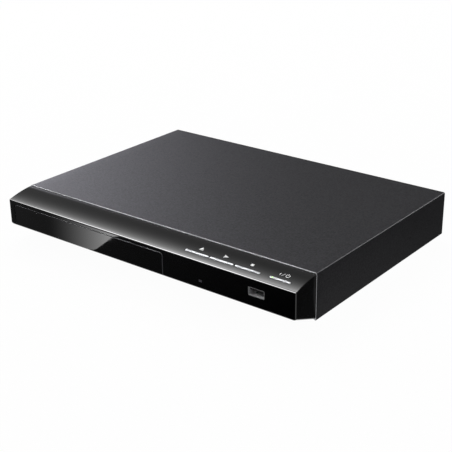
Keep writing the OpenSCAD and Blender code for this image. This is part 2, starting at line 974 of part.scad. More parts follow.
module inlet_outline(grow) {
  for (s = [-1, 1])
    translate([inlet_x + s * 3.7, inlet_z])
      circle(3.7 + grow);
  translate([inlet_x - 3.7, inlet_z - 2.6 - grow])
    square([7.4, 5.2 + 2 * grow]);
}

module mains_inlet() {
  rear = rear_face + 1.2;
  color(black)
    difference() {
      union() {
        backwards(rear - 19, rear_face - sheet_t - 0.1)
          round_rect([inlet_x - 11, board_top + 0.1], [inlet_x + 11, inlet_z + 7.5], 1);
        backwards(rear - 6, rear)
          round_rect([inlet_x - 10, inlet_z - 6], [inlet_x + 10, inlet_z + 6], 1.8);
      }
      backwards(rear - 13, rear + past)
        inlet_outline(0.8);
    }
}

module inlet_pins() {
  rear = rear_face + 1.2;
  color([0.8, 0.7, 0.4])
    for (s = [-1, 1])
      translate([inlet_x + s * 4.3, 0, inlet_z]) {
        rod_back(1.2, rear - 13, rear - 4.5);
        translate([0, rear - 4.5, 0])
          sphere(1.2);
      }
}

// ---- loader ----

module loader_frame() {
  hole_x = [traverse_x0 - 3, traverse_x1 + 3];
  hole_y = [traverse_y0 - 7, traverse_y1 + 2];
  ear_x = [traverse_x0 - ear_gap - ear_t, traverse_x1 + ear_gap];
  color([0.11, 0.11, 0.12])
    difference() {
      union() {
        // side walls, lower behind the front panel's belly
        for (x = [wall_x0 - wall_t, wall_x1]) {
          block([x, frame_step, frame_low], [x + wall_t, frame_rear, frame_top]);
          block([x, frame_front, low + 11], [x + wall_t, frame_step, frame_top]);
        }
        // cross members
        block([wall_x0, frame_rear - wall_t, frame_low],
          [wall_x1, frame_rear, rail_z1]);
        block([wall_x0, frame_front, low + 11], [wall_x1, frame_front + 3,
          tray_low - 2.4]);
        block([wall_x0, deck_y0, deck_z0], [wall_x1, deck_y1, deck_z1]);
        block([wall_x0, deck_y0, frame_low], [wall_x1, frame_rear, frame_floor]);
        for (x = [loader_x - 50, loader_x + 20, loader_x + 52])
          block([x, deck_y0, frame_floor - 0.1], [x + 1.6, deck_y1, deck_z0 + 0.1]);
        // rails under the tray's edges, and tabs over them
        for (x = [wall_x0, wall_x1 - 3])
          block([x, frame_front, rail_z1 - 2], [x + 3, frame_rear - 6, rail_z1]);
        for (x = [wall_x0, wall_x1 - 2.4])
          for (y = [frame_front + 2, frame_step + 8, spindle_y + 30, tray_rear - 12])
            block([x, y, tray_top + 0.3], [x + 2.4, y + 10, tray_top + 1.7]);
        // stop that the tray meets when it is home
        for (x = [loader_x - 40, loader_x + 34])
          block([x, tray_rear + 0.3, rail_z1 - 0.1], [x + 6, frame_rear, tray_top]);
        for (x = [loader_x - 40, loader_x + 34])
          block([x, frame_rear - wall_t, frame_low], [x + 6, frame_rear, tray_top]);
        // ears that hold the traverse's rear pins
        for (x = ear_x)
          block([x, pivot_y - 6, frame_low], [x + ear_t, pivot_y + 6, pivot_z + 5]);
        // bosses for the clamp bridge and lugs for the chassis posts
        for (x = [wall_x0 - wall_t - 2.6, wall_x1 + wall_t + 2.6])
          for (y = [spindle_y - 9, spindle_y + 9])
            translate([x, y, 0])
              rod_up(3, tray_low, frame_top);
        for (x = lug_x)
          for (y = lug_y)
            translate([x, y, 0]) {
              rod_up(lug_r, lug_z, lug_z + 2);
              block([x < loader_x ? 0 : -lug_r, -lug_r, lug_z],
                [x < loader_x ? lug_r : 0, lug_r, lug_z + 2]);
            }
        // posts for the gears
        for (x = [drive_x, pulley_x])
          translate([x, gear_y, 0])
            rod_up(post_r, deck_z1 - 0.1, gear_z1);
        for (x = [drive_x, pulley_x])
          translate([x, gear_y, 0])
            rod_up(post_r + 1.2, deck_z1 - 0.1, belt_z0 - 0.1);
      }
      block([hole_x[0], hole_y[0], frame_low - past], [hole_x[1], hole_y[1], frame_floor + past]);
      // the motor hangs under the deck
      translate([motor_x, gear_y, 0])
        rod_up(load_motor_r + 0.4, frame_low - past, deck_z0);
      translate([motor_x, gear_y, 0])
        rod_up(3.2, deck_z0 - past, deck_z1 + past);
      for (s = [-1, 1])
        translate([motor_x + 8 * s, gear_y, 0])
          rod_up(1.3, deck_z0 - past, deck_z1 + past);
      for (x = ear_x)
        translate([x - past, pivot_y, pivot_z])
          rotate([0, 90, 0])
            cylinder(r = bush_r + 0.05, h = ear_t + 2 * past);
      for (x = [wall_x0 - wall_t - 2.6, wall_x1 + wall_t + 2.6])
        for (y = [spindle_y - 9, spindle_y + 9])
          translate([x, y, 0])
            rod_up(1.15, tray_low - past, frame_top + past);
      for (x = lug_x)
        for (y = lug_y)
          translate([x, y, 0])
            rod_up(1.35, frame_low - past, lug_z + 3);
      // lightening slots in the side walls
      for (x = [wall_x0 - wall_t - past, wall_x1 - past])
        for (y = [spindle_y + 20, spindle_y + 48])
          block([x, y, low + 6], [x + wall_t + 2 * past, y + 20, rail_z1 - 3]);
    }
}

module clamp_bridge() {
  x0 = wall_x0 - wall_t - 6;
  x1 = wall_x1 + wall_t + 6;
  color(steel)
    difference() {
      union() {
        upwards(frame_top + 0.02, bridge_z1)
          union() {
            round_rect([x0, spindle_y - 15], [x1, spindle_y + 15], 3);
            translate([loader_x, spindle_y])
              circle(24);
          }
        for (y = [spindle_y - 15, spindle_y + 14])
          block([wall_x0 + 4, y, frame_top + 0.02], [wall_x1 - 4, y + 1, bridge_z1 + 2]);
        translate([loader_x, spindle_y, 0])
          rod_up(clamp_r + 3, frame_top + 0.02, bridge_z1 + 0.6);
      }
      translate([loader_x, spindle_y, 0])
        rod_up(clamp_r + 0.7, frame_top - past, bridge_z1 + 5);
      translate([loader_x, spindle_y, 0])
        rod_up(clamp_r + 5, bridge_z1 + 0.6, bridge_z1 + 5);
      for (x = [x0 + 3.4, x1 - 3.4])
        for (y = [spindle_y - 9, spindle_y + 9])
          translate([x, y, 0])
            rod_up(1.5, frame_top - past, bridge_z1 + 5);
      for (x = [loader_x - 48, loader_x + 34])
        upwards(frame_top - past, bridge_z1 + past)
          round_rect([x, spindle_y - 7], [x + 14, spindle_y + 7], 2);
    }
}

module loader_screws() {
  color([0.6, 0.6, 0.6])
    union() {
      for (x = lug_x)
        for (y = lug_y)
          translate([x, y, lug_z + 2.02])
            screw(length = 5);
      for (x = [wall_x0 - wall_t - 2.6, wall_x1 + wall_t + 2.6])
        for (y = [spindle_y - 9, spindle_y + 9])
          translate([x, y, bridge_z1 + 0.02])
            screw(r = 1.1, head = 2.4, length = 5);
      for (s = [-1, 1])
        translate([motor_x + 8 * s, gear_y, deck_z1 + 0.02])
          rotate([0, 0, 30])
            scale([0.9, 0.9, 0.9])
              screw_low();
    }
}

// The low screws that hold the motor under the belt
module screw_low() {
  difference() {
    union() {
      rod_up(1.9, 0, 0.7);
      rod_up(1.1, -2.6, 0);
    }
    block([-2.2, -0.25, 0.4], [2.2, 0.25, 1.5]);
  }
}

module loading_motor() {
  z0 = frame_low + 0.2;
  z1 = deck_z0 - 0.05;
  color([0.62, 0.63, 0.65])
    translate([motor_x, gear_y, 0])
      difference() {
        union() {
          rod_up(load_motor_r, z0, z1);
          rod_up(3, z1, deck_z1 - 0.3);
        }
        rod_up(0.8, z1 - 8, deck_z1 + past);
        for (s = [-1, 1])
          translate([8 * s, 0, 0])
            rod_up(1.05, z1 - 3, z1 + past);
        rod_up(4, z0 - past, z0 + 0.6);
      }
}

module drive_belt() {
  mid = (belt_z0 + belt_z1) / 2;
  inner = 0.06;
  color([0.05, 0.05, 0.05])
    translate([motor_x, gear_y, 0])
      upwards(mid - belt_t / 2, mid + belt_t / 2)
        difference() {
          belt_loop(motor_pulley_r - 0.6 + inner + belt_t, pulley_r - 0.6 + inner + belt_t,
            pulley_x - motor_x);
          belt_loop(motor_pulley_r - 0.6 + inner, pulley_r - 0.6 + inner,
            pulley_x - motor_x);
        }
}

// A pulley with a flat-bottomed groove for the belt
module pulley(r, z0, z1) {
  mid = (z0 + z1) / 2;
  rim = belt_t / 2 + 0.06;
  rod_up(r, z0, z1);
  rod_up(r + 0.9, z0, mid - rim);
  rod_up(r + 0.9, mid + rim, z1);
}

module motor_pulley() {
  color([0.85, 0.84, 0.8])
    translate([motor_x, gear_y, 0])
      union() {
        pulley(motor_pulley_r - 0.6, belt_z0, belt_z1);
        rod_up(0.75, deck_z0 - 6, belt_z0 + 0.1);
      }
}

module pulley_gear() {
  color([0.9, 0.89, 0.84])
    translate([pulley_x, gear_y, 0])
      difference() {
        union() {
          pulley(pulley_r - 0.6, belt_z0, belt_z1);
          rotate([0, 0, 180 / pulley_teeth])
            gear(pulley_teeth, load_module, belt_z1 - 0.1, gear_z1);
        }
        rod_up(post_r + bore_play, belt_z0 - past, gear_z1 + past);
        for (a = [0:60:300])
          rotate([0, 0, a])
            translate([8.6, 0, 0])
              rod_up(1.5, belt_z0 - past, belt_z1 + past);
      }
}

module drive_gear() {
  color([0.93, 0.92, 0.88])
    translate([drive_x, gear_y, 0])
      difference() {
        union() {
          gear(drive_teeth, load_module, gear_z0, gear_z1);
          rod_up(post_r + 1.4, belt_z0, gear_z1);
        }
        rod_up(post_r + bore_play, belt_z0 - past, gear_z1 + past);
        for (a = [0:60:300])
          rotate([0, 0, a])
            translate([drive_r * 0.58, 0, 0])
              rod_up(drive_r * 0.17, gear_z0 - past, gear_z1 + past);
      }
}

// An inclined slot from low point p to high point q
module cam_slot(p, q, r) {
  a = atan2(q[1] - p[1], q[0] - p[0]);
  translate(p)
    rotate(a) {
      translate([0, -r])
        square([norm(q - p), 2 * r]);
      circle(r);
      translate([norm(q - p), 0])
        circle(r);
    }
}

// Height of a front pin's middle when the traverse is down
pin_y = (slider_y0 + slider_y1) / 2;
pin_low_z = pivot_z + (pin_y - pivot_y) * sin(tilt) + (pin_z - pivot_z) * cos(tilt);

module cam_slider() {
  x0 = loader_x - pin_dx - cam_stroke - 5;
  x1 = loader_x + pin_dx + 5;
  z0 = frame_floor + 0.2;
  z1 = pin_z + pin_r + pin_play + 1.6;
  color([0.88, 0.87, 0.83])
    difference() {
      union() {
        block([x0, slider_y0, z0], [x1, slider_y1, z1]);
        // the arm with the short rack that the drive gear picks up
        block([loader_x - 12, slider_y0, z1 - 0.1], [loader_x + 20, slider_y1, gear_z1]);
        upwards(gear_z0 + 0.2, gear_z1)
          translate([loader_x + 4, slider_y0 - 0.5])
            rotate(-90)
              rack(load_module, -6, 5, 1.5);
      }
      for (s = [-1, 1])
        backwards(slider_y0 - past, slider_y1 + past)
          cam_slot([loader_x + s * pin_dx, pin_low_z],
            [loader_x + s * pin_dx - cam_stroke, pin_z], pin_r + pin_play);
    }
}

module disc_tray() {
  mid = [loader_x, spindle_y];
  rear_bridge_z = plate_low + 1.5;
  color([0.09, 0.09, 0.1])
    difference() {
      union() {
        upwards(plate_low, tray_top)
          union() {
            round_rect([tray_x0, tray_front + 6], [tray_x1, tray_rear], 4);
            translate([tray_x0, tray_front])
              square([tray_w, 20]);
          }
        // skirts that run on the rails
        for (x = [tray_x0, tray_x1 - skirt_t])
          block([x, tray_front + 4, tray_low], [x + skirt_t, tray_rear - 5,
            tray_top - 0.5]);
        block([tray_x0, tray_front, tray_low - 1.8], [tray_x1, tray_front + 1.5,
          tray_top - 0.5]);
        // the rack under the right edge
        upwards(tray_low, plate_low + 0.1)
          translate([rack_x, gear_y])
            rotate(180)
              rack(load_module, -56, 6, 2.4);
      }
      // the two wells
      translate(mid)
        rod_up(well_d / 2, well_z, tray_top + past);
      translate(mid)
        rod_up(small_well_d / 2, small_well_z, tray_top + past);
      // the window for the turntable and the pickup
      upwards(tray_low, tray_top + past)
        union() {
          translate([loader_x, spindle_y - 4])
            circle(window_w / 2 - 4);
          round_rect([loader_x - window_w / 2, spindle_y - 4],
            [loader_x + window_w / 2, tray_rear - 8], 4);
        }
      upwards(tray_low, rear_bridge_z)
        translate([loader_x - window_w / 2, tray_rear - 20])
          square([window_w, 20 + past]);
      // finger scallops at the well's sides
      for (s = [-1, 1])
        translate([loader_x + s * well_d / 2, spindle_y - 30, 0])
          rod_up(9, small_well_z, tray_top + past);
      // the corners are hollow from below
      difference() {
        upwards(tray_low, tray_top - 1.8)
          round_rect([tray_x0 + skirt_t, tray_front + 3], [tray_x1 - 12,
            tray_rear - 3], 1);
        translate(mid)
          rod_up(well_d / 2 + 1.5, tray_low - past, tray_top);
        for (y = [spindle_y - 46, spindle_y + 46, spindle_y + 70])
          block([tray_x0, y, tray_low - past], [tray_x1, y + 1.6, tray_top]);
        for (x = [loader_x - window_w / 2 - 1.8, loader_x + window_w / 2])
          block([x, spindle_y, tray_low - past], [x + 1.8, tray_rear, tray_top]);
        for (y = [spindle_y - 30])
          for (s = [-1, 1])
            translate([loader_x + s * well_d / 2, y, 0])
              rod_up(10.5, tray_low - past, tray_top);
      }
      // slots for the door's tabs
      for (x = [loader_x - 52, loader_x + 44])
        block([x - 0.2, tray_front - past, tray_low + 0.8], [x + 8.2, tray_front + 5,
          tray_low + 2.6]);
    }
}

module tray_door() {
  color(black)
    union() {
      intersection() {
        panel_form();
        backwards(front - past, front + door_t)
          union() {
            round_rect([door_x0, chin_z - 2], [door_x1, door_z1], 2);
            translate([door_x0, low])
              square([door_w, face_low + 4]);
          }
      }
      for (x = [loader_x - 52, loader_x + 44])
        block([x, front + door_t - 0.3, tray_low + 1], [x + 8, tray_front + 4.5,
          tray_low + 2.4]);
      block([loader_x - 30, front + door_t - 0.2, tray_low + 3], [loader_x + 30,
        tray_front - 0.02, tray_low + 4.4]);
    }
}

module damper_bushes() {
  color([0.15, 0.15, 0.16])
    for (x = [traverse_x0 - ear_gap - ear_t, traverse_x1 + ear_gap])
      translate([x, pivot_y, pivot_z])
        rotate([0, 90, 0])
          difference() {
            cylinder(r = bush_r, h = ear_t);
            translate([0, 0, -past])
              cylinder(r = pivot_r + 0.06, h = ear_t + 2 * past);
          }
}

// ---- traverse ----

module traverse_frame() {
  x0 = traverse_x0;
  x1 = traverse_x1;
  y0 = traverse_y0;
  y1 = traverse_y1;
  color([0.5, 0.51, 0.53])
    lowered()
      difference() {
        union() {
          upwards(sheet_z, sheet_z1)
            round_rect([x0, y0], [x1, y1], 3);
          difference() {
            upwards(rim_z0, rim_z1)
              round_rect([x0, y0], [x1, y1], 3);
            upwards(rim_z0 - past, rim_z1 + past)
              round_rect([x0 + rim_t, y0 + rim_t], [x1 - rim_t, y1 - rim_t], 1);
          }
          // rear pivot pins with their root blocks
          for (s = [-1, 1])
            translate([s < 0 ? x0 - ear_gap - ear_t : x1 - 1, pivot_y, pivot_z])
              rotate([0, 90, 0])
                cylinder(r = pivot_r, h = ear_gap + ear_t + 1);
          for (x = [x0, x1 - 4])
            block([x, pivot_y - 3, rim_z0 - 1.6], [x + 4, pivot_y + 3, rim_z1]);
          // front pins that ride in the cam slider
          for (s = [-1, 1])
            translate([loader_x + s * pin_dx, 0, pin_z])
              rod_back(pin_r, slider_y0 + 0.2, y0 + 1);
          // blocks that hold the guide rods
          for (x = rod_x)
            for (y = [rod_y0, rod_y1 - 4])
              block([x - 3.4, y, sheet_z1 - 0.1], [x + 3.4, y + 4, rod_z + 2.4]);
          // post of the sled gear
          translate([sled_x, sled_y, 0])
            rod_up(1.2, sheet_z1 - 0.1, pinion_z1);
          translate([sled_x, sled_y, 0])
            rod_up(2.4, sheet_z1 - 0.1, wheel_z0 - 0.1);
        }
        // the pickup's window and the spindle's hole
        upwards(sheet_z - past, sheet_z1 + past)
          round_rect([rod_x[0] - 4, window_y0], [rod_x[1] + 5, window_y1], 3);
        translate([loader_x, spindle_y, 0])
          rod_up(12.4, sheet_z - past, sheet_z1 + past);
        translate([sled_x, sled_motor_y, 0])
          rod_up(2.5, sheet_z - past, sheet_z1 + past);
        for (x = rod_x)
          translate([x, 0, rod_z])
            rod_back(rod_r + 0.02, rod_y0 - past, rod_y1 + past);
        for (p = [[x0 + 9, y0 + 8], [x0 + 9, y1 - 12], [x1 - 12, y0 + 20]])
          translate([p[0], p[1], 0])
            rod_up(3, sheet_z - past, sheet_z1 + past);
      }
}

module spindle_motor() {
  color([0.66, 0.67, 0.69])
    lowered()
      translate([loader_x, spindle_y, 0])
        difference() {
          union() {
            upwards(sheet_z - 1.05, sheet_z - 0.05)
              round_rect([-17, -12.8], [19, 13.5], 2);
            rod_up(3.2, sheet_z - 0.1, sheet_z + 5);
            for (a = [0:40:320])
              rotate([0, 0, a])
                block([2.5, -1, sheet_z + 2.4], [8.6, 1, sheet_z + 4.6]);
            for (a = [0:40:320])
              rotate([0, 0, a])
                block([8.2, -2, sheet_z + 2.4], [9.2, 2, sheet_z + 4.6]);
          }
          rod_up(1.06, sheet_z - 0.3, sheet_z + 6);
        }
}

module guide_rods() {
  color([0.85, 0.86, 0.88])
    lowered()
      for (x = rod_x)
        translate([x, 0, rod_z])
          rod_back(rod_r, rod_y0 - 0.5, rod_y1 + 0.5);
}

module sled_motor() {
  color([0.7, 0.71, 0.72])
    lowered()
      translate([sled_x, sled_motor_y, 0])
        difference() {
          union() {
            rod_up(8, sheet_z - 8.5, sheet_z - 0.05);
            rod_up(2.3, sheet_z - 0.1, sheet_z1 + 0.1);
          }
          rod_up(0.8, sheet_z - 5, sheet_z1 + past);
          rod_up(3, sheet_z - 8.5 - past, sheet_z - 8);
        }
}

module turntable() {
  bell_r = 11.4;
  bell_z0 = sheet_z + 1.9;
  bell_z1 = sheet_z + 7.2;
  color([0.3, 0.3, 0.32])
    lowered()
      translate([loader_x, spindle_y, 0])
        rotate_extrude()
          difference() {
            polygon([[0, sheet_z], [1, sheet_z], [1, bell_z1 - 0.8],
              [bell_r - 0.8, bell_z1 - 0.8], [bell_r - 0.8, bell_z0],
              [bell_r, bell_z0], [bell_r, bell_z1], [5, bell_z1],
              [5, table_z - 2.6], [turntable_d / 2, table_z - 1.6],
              [turntable_d / 2, table_z], [hub_d / 2 + 2, table_z],
              [hub_d / 2 + 2, table_z - 0.5], [hub_d / 2, table_z - 0.5],
              [hub_d / 2, table_z + 1.2], [hub_d / 2 - 1.6, hub_z],
              [3, hub_z], [2.4, hub_z - 0.7], [0, hub_z - 0.7]]);
          }
}

module clamper() {
  color([0.82, 0.82, 0.8])
    translate([loader_x, spindle_y, 0])
      rotate_extrude()
        polygon([[9, clamp_z0 + 2.6], [9, clamp_z0], [clamp_r, clamp_z0],
          [clamp_r, bridge_z1 + 0.7], [clamp_r + 4, bridge_z1 + 0.7],
          [clamp_r + 4, bridge_z1 + 1.7], [10.2, bridge_z1 + 1.7],
          [10.2, clamp_z0 + 3.8], [2, clamp_z0 + 3.8], [2, clamp_z0 + 2.6]]);
}

module clamper_yoke() {
  color([0.72, 0.73, 0.75])
    translate([loader_x, spindle_y, 0])
      difference() {
        rod_up(10.1, clamp_z0 + 3.82, bridge_z1 + 2);
        rod_up(3.4, clamp_z0 + 3, bridge_z1 + 3);
      }
}

module pickup_body() {
  x0 = rod_x[0] + 5.2;
  x1 = rod_x[1] - 4;
  y1 = pickup_y0 + pickup_len;
  z0 = sheet_z - 2;
  z1 = plate_low - 0.8;
  reach = sled_rack_x - 1.05 * sled_module;
  teeth_y = ceil((pickup_travel + 4) / (PI * sled_module));
  color([0.55, 0.56, 0.58])
    lowered()
      difference() {
        union() {
          upwards(z0, z1)
            union() {
              translate([x0, pickup_y0])
                square([x1 - x0, pickup_len]);
              translate([(x0 + x1) / 2, y1 - 4])
                circle(9);
            }
          // two bearings on the main rod and a fork on the other
          for (y = [pickup_y0 + 1, y1 - 7])
            translate([rod_x[1], 0, rod_z])
              rod_back(rod_r + 1.2, y, y + 6);
          for (y = [pickup_y0 + 1, y1 - 7])
            block([x1 - 0.1, y, rod_z - 1.6], [rod_x[1] - rod_r, y + 6, rod_z + 1.6]);
          block([rod_x[0] - 2.2, pickup_y0 + 9, rod_z - rod_r - 1.2],
            [x0 + 0.1, pickup_y0 + 15, rod_z + rod_r + 1.2]);
          // the rack and its arm
          block([rod_x[1] + rod_r, y1 - 8, pinion_z0 + 0.2], [reach, y1 - 2,
            pinion_z1 - 0.2]);
          upwards(pinion_z0 + 0.2, pinion_z1 - 0.2)
            translate([sled_rack_x, sled_y])
              rack(sled_module, -teeth_y, 1, 2);
        }
        for (y = [pickup_y0, y1])
          translate([rod_x[1], 0, rod_z])
            rod_back(rod_r + bore_play, pickup_y0 - 2, y1 + 2);
        block([rod_x[0] - 5, pickup_y0 + 8, rod_z - rod_r - 0.1],
          [rod_x[0] + rod_r + 0.6, pickup_y0 + 16, rod_z + rod_r + 0.1]);
        // the well of the lens actuator
        upwards(z1 - 3, z1 + past)
          round_rect([loader_x - 10, lens_y - 6.5], [loader_x + 10, lens_y + 9.5], 1);
        translate([loader_x, lens_y, 0])
          rod_up(2.6, z0 - past, z1);
      }
}

module lens_holder() {
  z1 = plate_low - 0.8;
  color([0.1, 0.1, 0.11])
    lowered()
      difference() {
        union() {
          upwards(z1 - 2.2, z1 + 0.3)
            round_rect([loader_x - 7, lens_y - 4.5], [loader_x + 7, lens_y + 4.5], 1);
          translate([loader_x, lens_y, 0])
            rod_up(4, z1, lens_z);
          for (s = [-1, 1])
            for (z = [z1 - 1.6, z1 - 0.6])
              translate([loader_x + s * 8, 0, z])
                rod_back(0.15, lens_y - 1, lens_y + 9);
          for (s = [-1, 1])
            block([loader_x + s * 7.5 - 0.9, lens_y - 1.5, z1 - 2],
              [loader_x + s * 7.5 + 0.9, lens_y + 1.5, z1 - 0.2]);
        }
        translate([loader_x, lens_y, 0])
          rod_up(2.4, z1 - 4, lens_z + past);
      }
}

module objective_lens() {
  z1 = lens_z;
  color([0.6, 0.75, 0.9, 0.6])
    lowered()
      translate([loader_x, lens_y, 0])
        intersection() {
          rod_up(2.38, z1 - 2.2, z1);
          translate([0, 0, z1 - 4.2])
            sphere(4);
        }
}

module sled_gear() {
  color([0.92, 0.91, 0.87])
    lowered()
      translate([sled_x, sled_y, 0])
        difference() {
          union() {
            gear(sled_wheel_teeth, sled_module, wheel_z0, wheel_z1);
            gear(sled_pinion_teeth, sled_module, wheel_z1 - 0.1, pinion_z1);
          }
          rod_up(1.2 + bore_play, wheel_z0 - past, pinion_z1 + past);
          for (a = [0:60:300])
            rotate([0, 0, a])
              translate([7.2, 0, 0])
                rod_up(1.5, wheel_z0 - past, wheel_z1 + past);
        }
}

module sled_pinion() {
  color([0.8, 0.68, 0.35])
    lowered()
      translate([sled_x, sled_motor_y, 0])
        union() {
          gear(sled_pinion_teeth, sled_module, wheel_z0, wheel_z1);
          rod_up(0.75, sheet_z - 4.5, wheel_z1 + 0.6);
        }
}

// ---- boards ----

module main_board() {
  color([0.1, 0.32, 0.17])
    difference() {
      union() {
        block([board_x0, board_y0, board_top - board_t], [board_x1, board_y1, board_top]);
        block([av_x - 12, frame_rear + 2, board_top - board_t],
          [board_x0 + 1, board_y1, board_top]);
      }
      at_posts()
        rod_up(1.4, board_top - 3, board_top + past);
    }
}

module main_chips() {
  x0 = board_x0 + 22;
  x1 = board_x1 - 19;
  spots = [[x0, 34, 20, 20, 2], [x0, 96, 13, 8, 1.8], [x1, 58, 10, 14, 1.6],
    [x1, 76, 9, 9, 1.6], [x0, 112, 12, 9, 1.6]];
  color([0.07, 0.07, 0.08])
    for (s = spots)
      translate([s[0], board_y0 + s[1], board_top + 0.1])
        union() {
          translate([-s[2] / 2, -s[3] / 2, 0.2])
            cube([s[2], s[3], s[4]]);
          for (i = [-3:3])
            translate([-s[2] / 2 - 1, i * s[3] / 8 - 0.3, 0])
              cube([s[2] + 2, 0.6, 0.5]);
        }
}

// A can capacitor standing on a board
module capacitor(x, y, r, h) {
  translate([x, y, board_top + 0.1])
    difference() {
      union() {
        cylinder(r = r, h = h);
        translate([0, 0, 0.8])
          cylinder(r = r + 0.15, h = h - 1.2);
      }
      for (a = [0, 90])
        rotate([0, 0, a])
          block([-r * 0.7, -0.15, h - 0.3], [r * 0.7, 0.15, h + past]);
    }
}

module main_capacitors() {
  color([0.12, 0.14, 0.3])
    union() {
      for (p = [[20, 3.1], [30, 3.1], [76, 2.5], [84, 2.5]])
        capacitor(board_x0 + 8, board_y0 + p[0], p[1], 4 * p[1]);
      for (p = [[12, 2.5], [56, 3.1], [66, 2.5], [74, 2.5], [82, 2.5]])
        capacitor(board_x1 - 7, board_y0 + p[0], p[1], 4 * p[1]);
    }
}

module power_board() {
  color([0.72, 0.55, 0.3])
    difference() {
      block([power_x0, power_y0, board_top - board_t], [power_x1, board_y1, board_top]);
      at_posts()
        rod_up(1.4, board_top - 3, board_top + past);
    }
}

module transformer() {
  x = inlet_x;
  y = power_y0 + 62;
  z = board_top + 0.1;
  color([0.85, 0.75, 0.2])
    union() {
      block([x - 11, y - 9, z], [x + 11, y + 9, z + 2]);
      block([x - 11, y - 9, z + 14], [x + 11, y + 9, z + 15.5]);
      upwards(z + 1, z + 15)
        translate([x, y])
          round_rect([-9, -7.5], [9, 7.5], 3);
      for (s = [-1, 1])
        block([x - 3, y + s * 10 - 2, z + 2.2], [x + 3, y + s * 10 + 2, z + 13.6]);
    }
}

module power_capacitors() {
  color([0.1, 0.1, 0.12])
    union() {
      capacitor(inlet_x - 3, power_y0 + 92, 8, 20);
      for (p = [[-10, 36], [2, 36], [-10, 24]])
        capacitor(inlet_x + p[0], power_y0 + p[1], 4, 14);
    }
}

module heat_sink() {
  x = inlet_x + 12;
  y = power_y0 + 84;
  z = board_top + 0.1;
  color([0.75, 0.76, 0.78])
    union() {
      block([x, y - 2, z], [x + 1.4, y + 24, z + 18]);
      for (i = [0:4])
        block([x - 3, y + 5 * i, z + 2], [x + 0.1, y + 1 + 5 * i, z + 18]);
    }
}

module board_screws() {
  color([0.6, 0.6, 0.58])
    at_posts()
      translate([0, 0, board_top + 0.02])
        screw(r = 1.2, head = 2.4, length = 5);
}

module ribbon_cable() {
  y0 = front + 13;
  y1 = board_y0 + 6;
  z1 = front_board_low(y0 - 4);
  color([0.88, 0.87, 0.82])
    union() {
      across(board_x0 + 20, board_x0 + 34)
        polygon([[y0, z1 - 2], [y0 + 0.3, z1 - 2.3], [y1 - 10, board_top + 5],
          [y1, board_top + 5], [y1, board_top + 5.3], [y1 - 10.2, board_top + 5.3],
          [y0, z1 - 1.6]]);
      block([board_x0 + 18, y1 - 0.1, board_top + 0.1], [board_x0 + 36, y1 + 4,
        board_top + 6]);
      block([board_x0 + 18, y0 - 4, z1 - 3], [board_x0 + 36, y0 + 0.1, z1 - 0.3]);
    }
}

module wire_harness() {
  y = power_y0 + 50;
  z = board_top + 0.1;
  r_out = (power_x0 - board_x1) / 2 + 4;
  mid = (power_x0 + board_x1) / 2;
  color([0.8, 0.8, 0.78])
    union() {
      for (x = [mid - r_out - 2, mid + r_out - 3])
        block([x, y - 8, z], [x + 5, y + 8, z + 5]);
      for (i = [-2:2])
        translate([mid, y + i * 2.6, z + 4.9])
          rotate([90, 0, 0])
            intersection() {
              rotate_extrude()
                translate([r_out - 0.5, 0])
                  circle(0.7);
              translate([-20, 0, -2])
                cube([40, 20, 4]);
            }
    }
}

top_cover();
base_pan();
rear_panel();
front_panel();
feet();
cover_screws();
ir_window();
power_light();
data_port_shell();
data_port_tongue();
front_board();
tact_switches();
ir_receiver();
eject_button();
play_button();
stop_button();
power_button();
phono_block();
phono_shells();
insert_yellow();
insert_white();
insert_red();
insert_orange();
digital_av_socket();
mains_inlet();
inlet_pins();
loader_frame();
clamp_bridge();
loader_screws();
loading_motor();
drive_belt();
damper_bushes();
disc_tray();
tray_door();
drive_gear();
pulley_gear();
motor_pulley();
cam_slider();
traverse_frame();
spindle_motor();
guide_rods();
sled_motor();
turntable();
clamper();
clamper_yoke();
pickup_body();
lens_holder();
objective_lens();
sled_gear();
sled_pinion();
main_board();
main_chips();
main_capacitors();
power_board();
transformer();
power_capacitors();
heat_sink();
board_screws();
ribbon_cable();
wire_harness();
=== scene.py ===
"""Slim tabletop disc player with a motorised tray, dressed round its construction model."""

import json
import math
from functools import partial
import bpy
import numpy as np
from mathutils import Matrix, Vector


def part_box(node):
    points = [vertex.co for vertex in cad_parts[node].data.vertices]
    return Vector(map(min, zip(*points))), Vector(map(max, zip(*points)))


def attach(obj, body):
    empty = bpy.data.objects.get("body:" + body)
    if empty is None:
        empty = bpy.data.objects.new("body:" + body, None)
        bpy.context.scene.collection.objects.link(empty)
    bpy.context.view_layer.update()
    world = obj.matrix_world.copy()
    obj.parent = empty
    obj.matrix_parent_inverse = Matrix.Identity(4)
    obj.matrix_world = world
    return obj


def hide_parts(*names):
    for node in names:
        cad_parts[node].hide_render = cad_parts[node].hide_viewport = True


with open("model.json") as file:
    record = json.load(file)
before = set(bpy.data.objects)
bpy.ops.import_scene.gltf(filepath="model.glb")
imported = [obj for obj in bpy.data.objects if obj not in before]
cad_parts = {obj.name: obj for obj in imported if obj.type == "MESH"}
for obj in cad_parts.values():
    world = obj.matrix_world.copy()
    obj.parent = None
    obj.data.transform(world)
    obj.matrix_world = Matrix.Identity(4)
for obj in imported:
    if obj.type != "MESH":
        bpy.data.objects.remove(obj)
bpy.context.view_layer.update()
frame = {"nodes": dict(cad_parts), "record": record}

bl_info = {
    "name": "Slim disc player",
    "version": (1, 0, 0),
    "blender": (4, 5, 0),
    "location": "View3D > Sidebar > Disc player",
    "description": "Builds the casing, finishes and studio of a slim disc player",
    "category": "Object",
}

MM = 0.001

# Faces of the construction model that the dressed pieces share, in metres
(LEFT, SEAM, LOW), (RIGHT, BACK, TOP) = (
    [float(value) for value in corner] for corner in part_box("top_cover"))
FRONT = float(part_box("front_panel")[0][1])

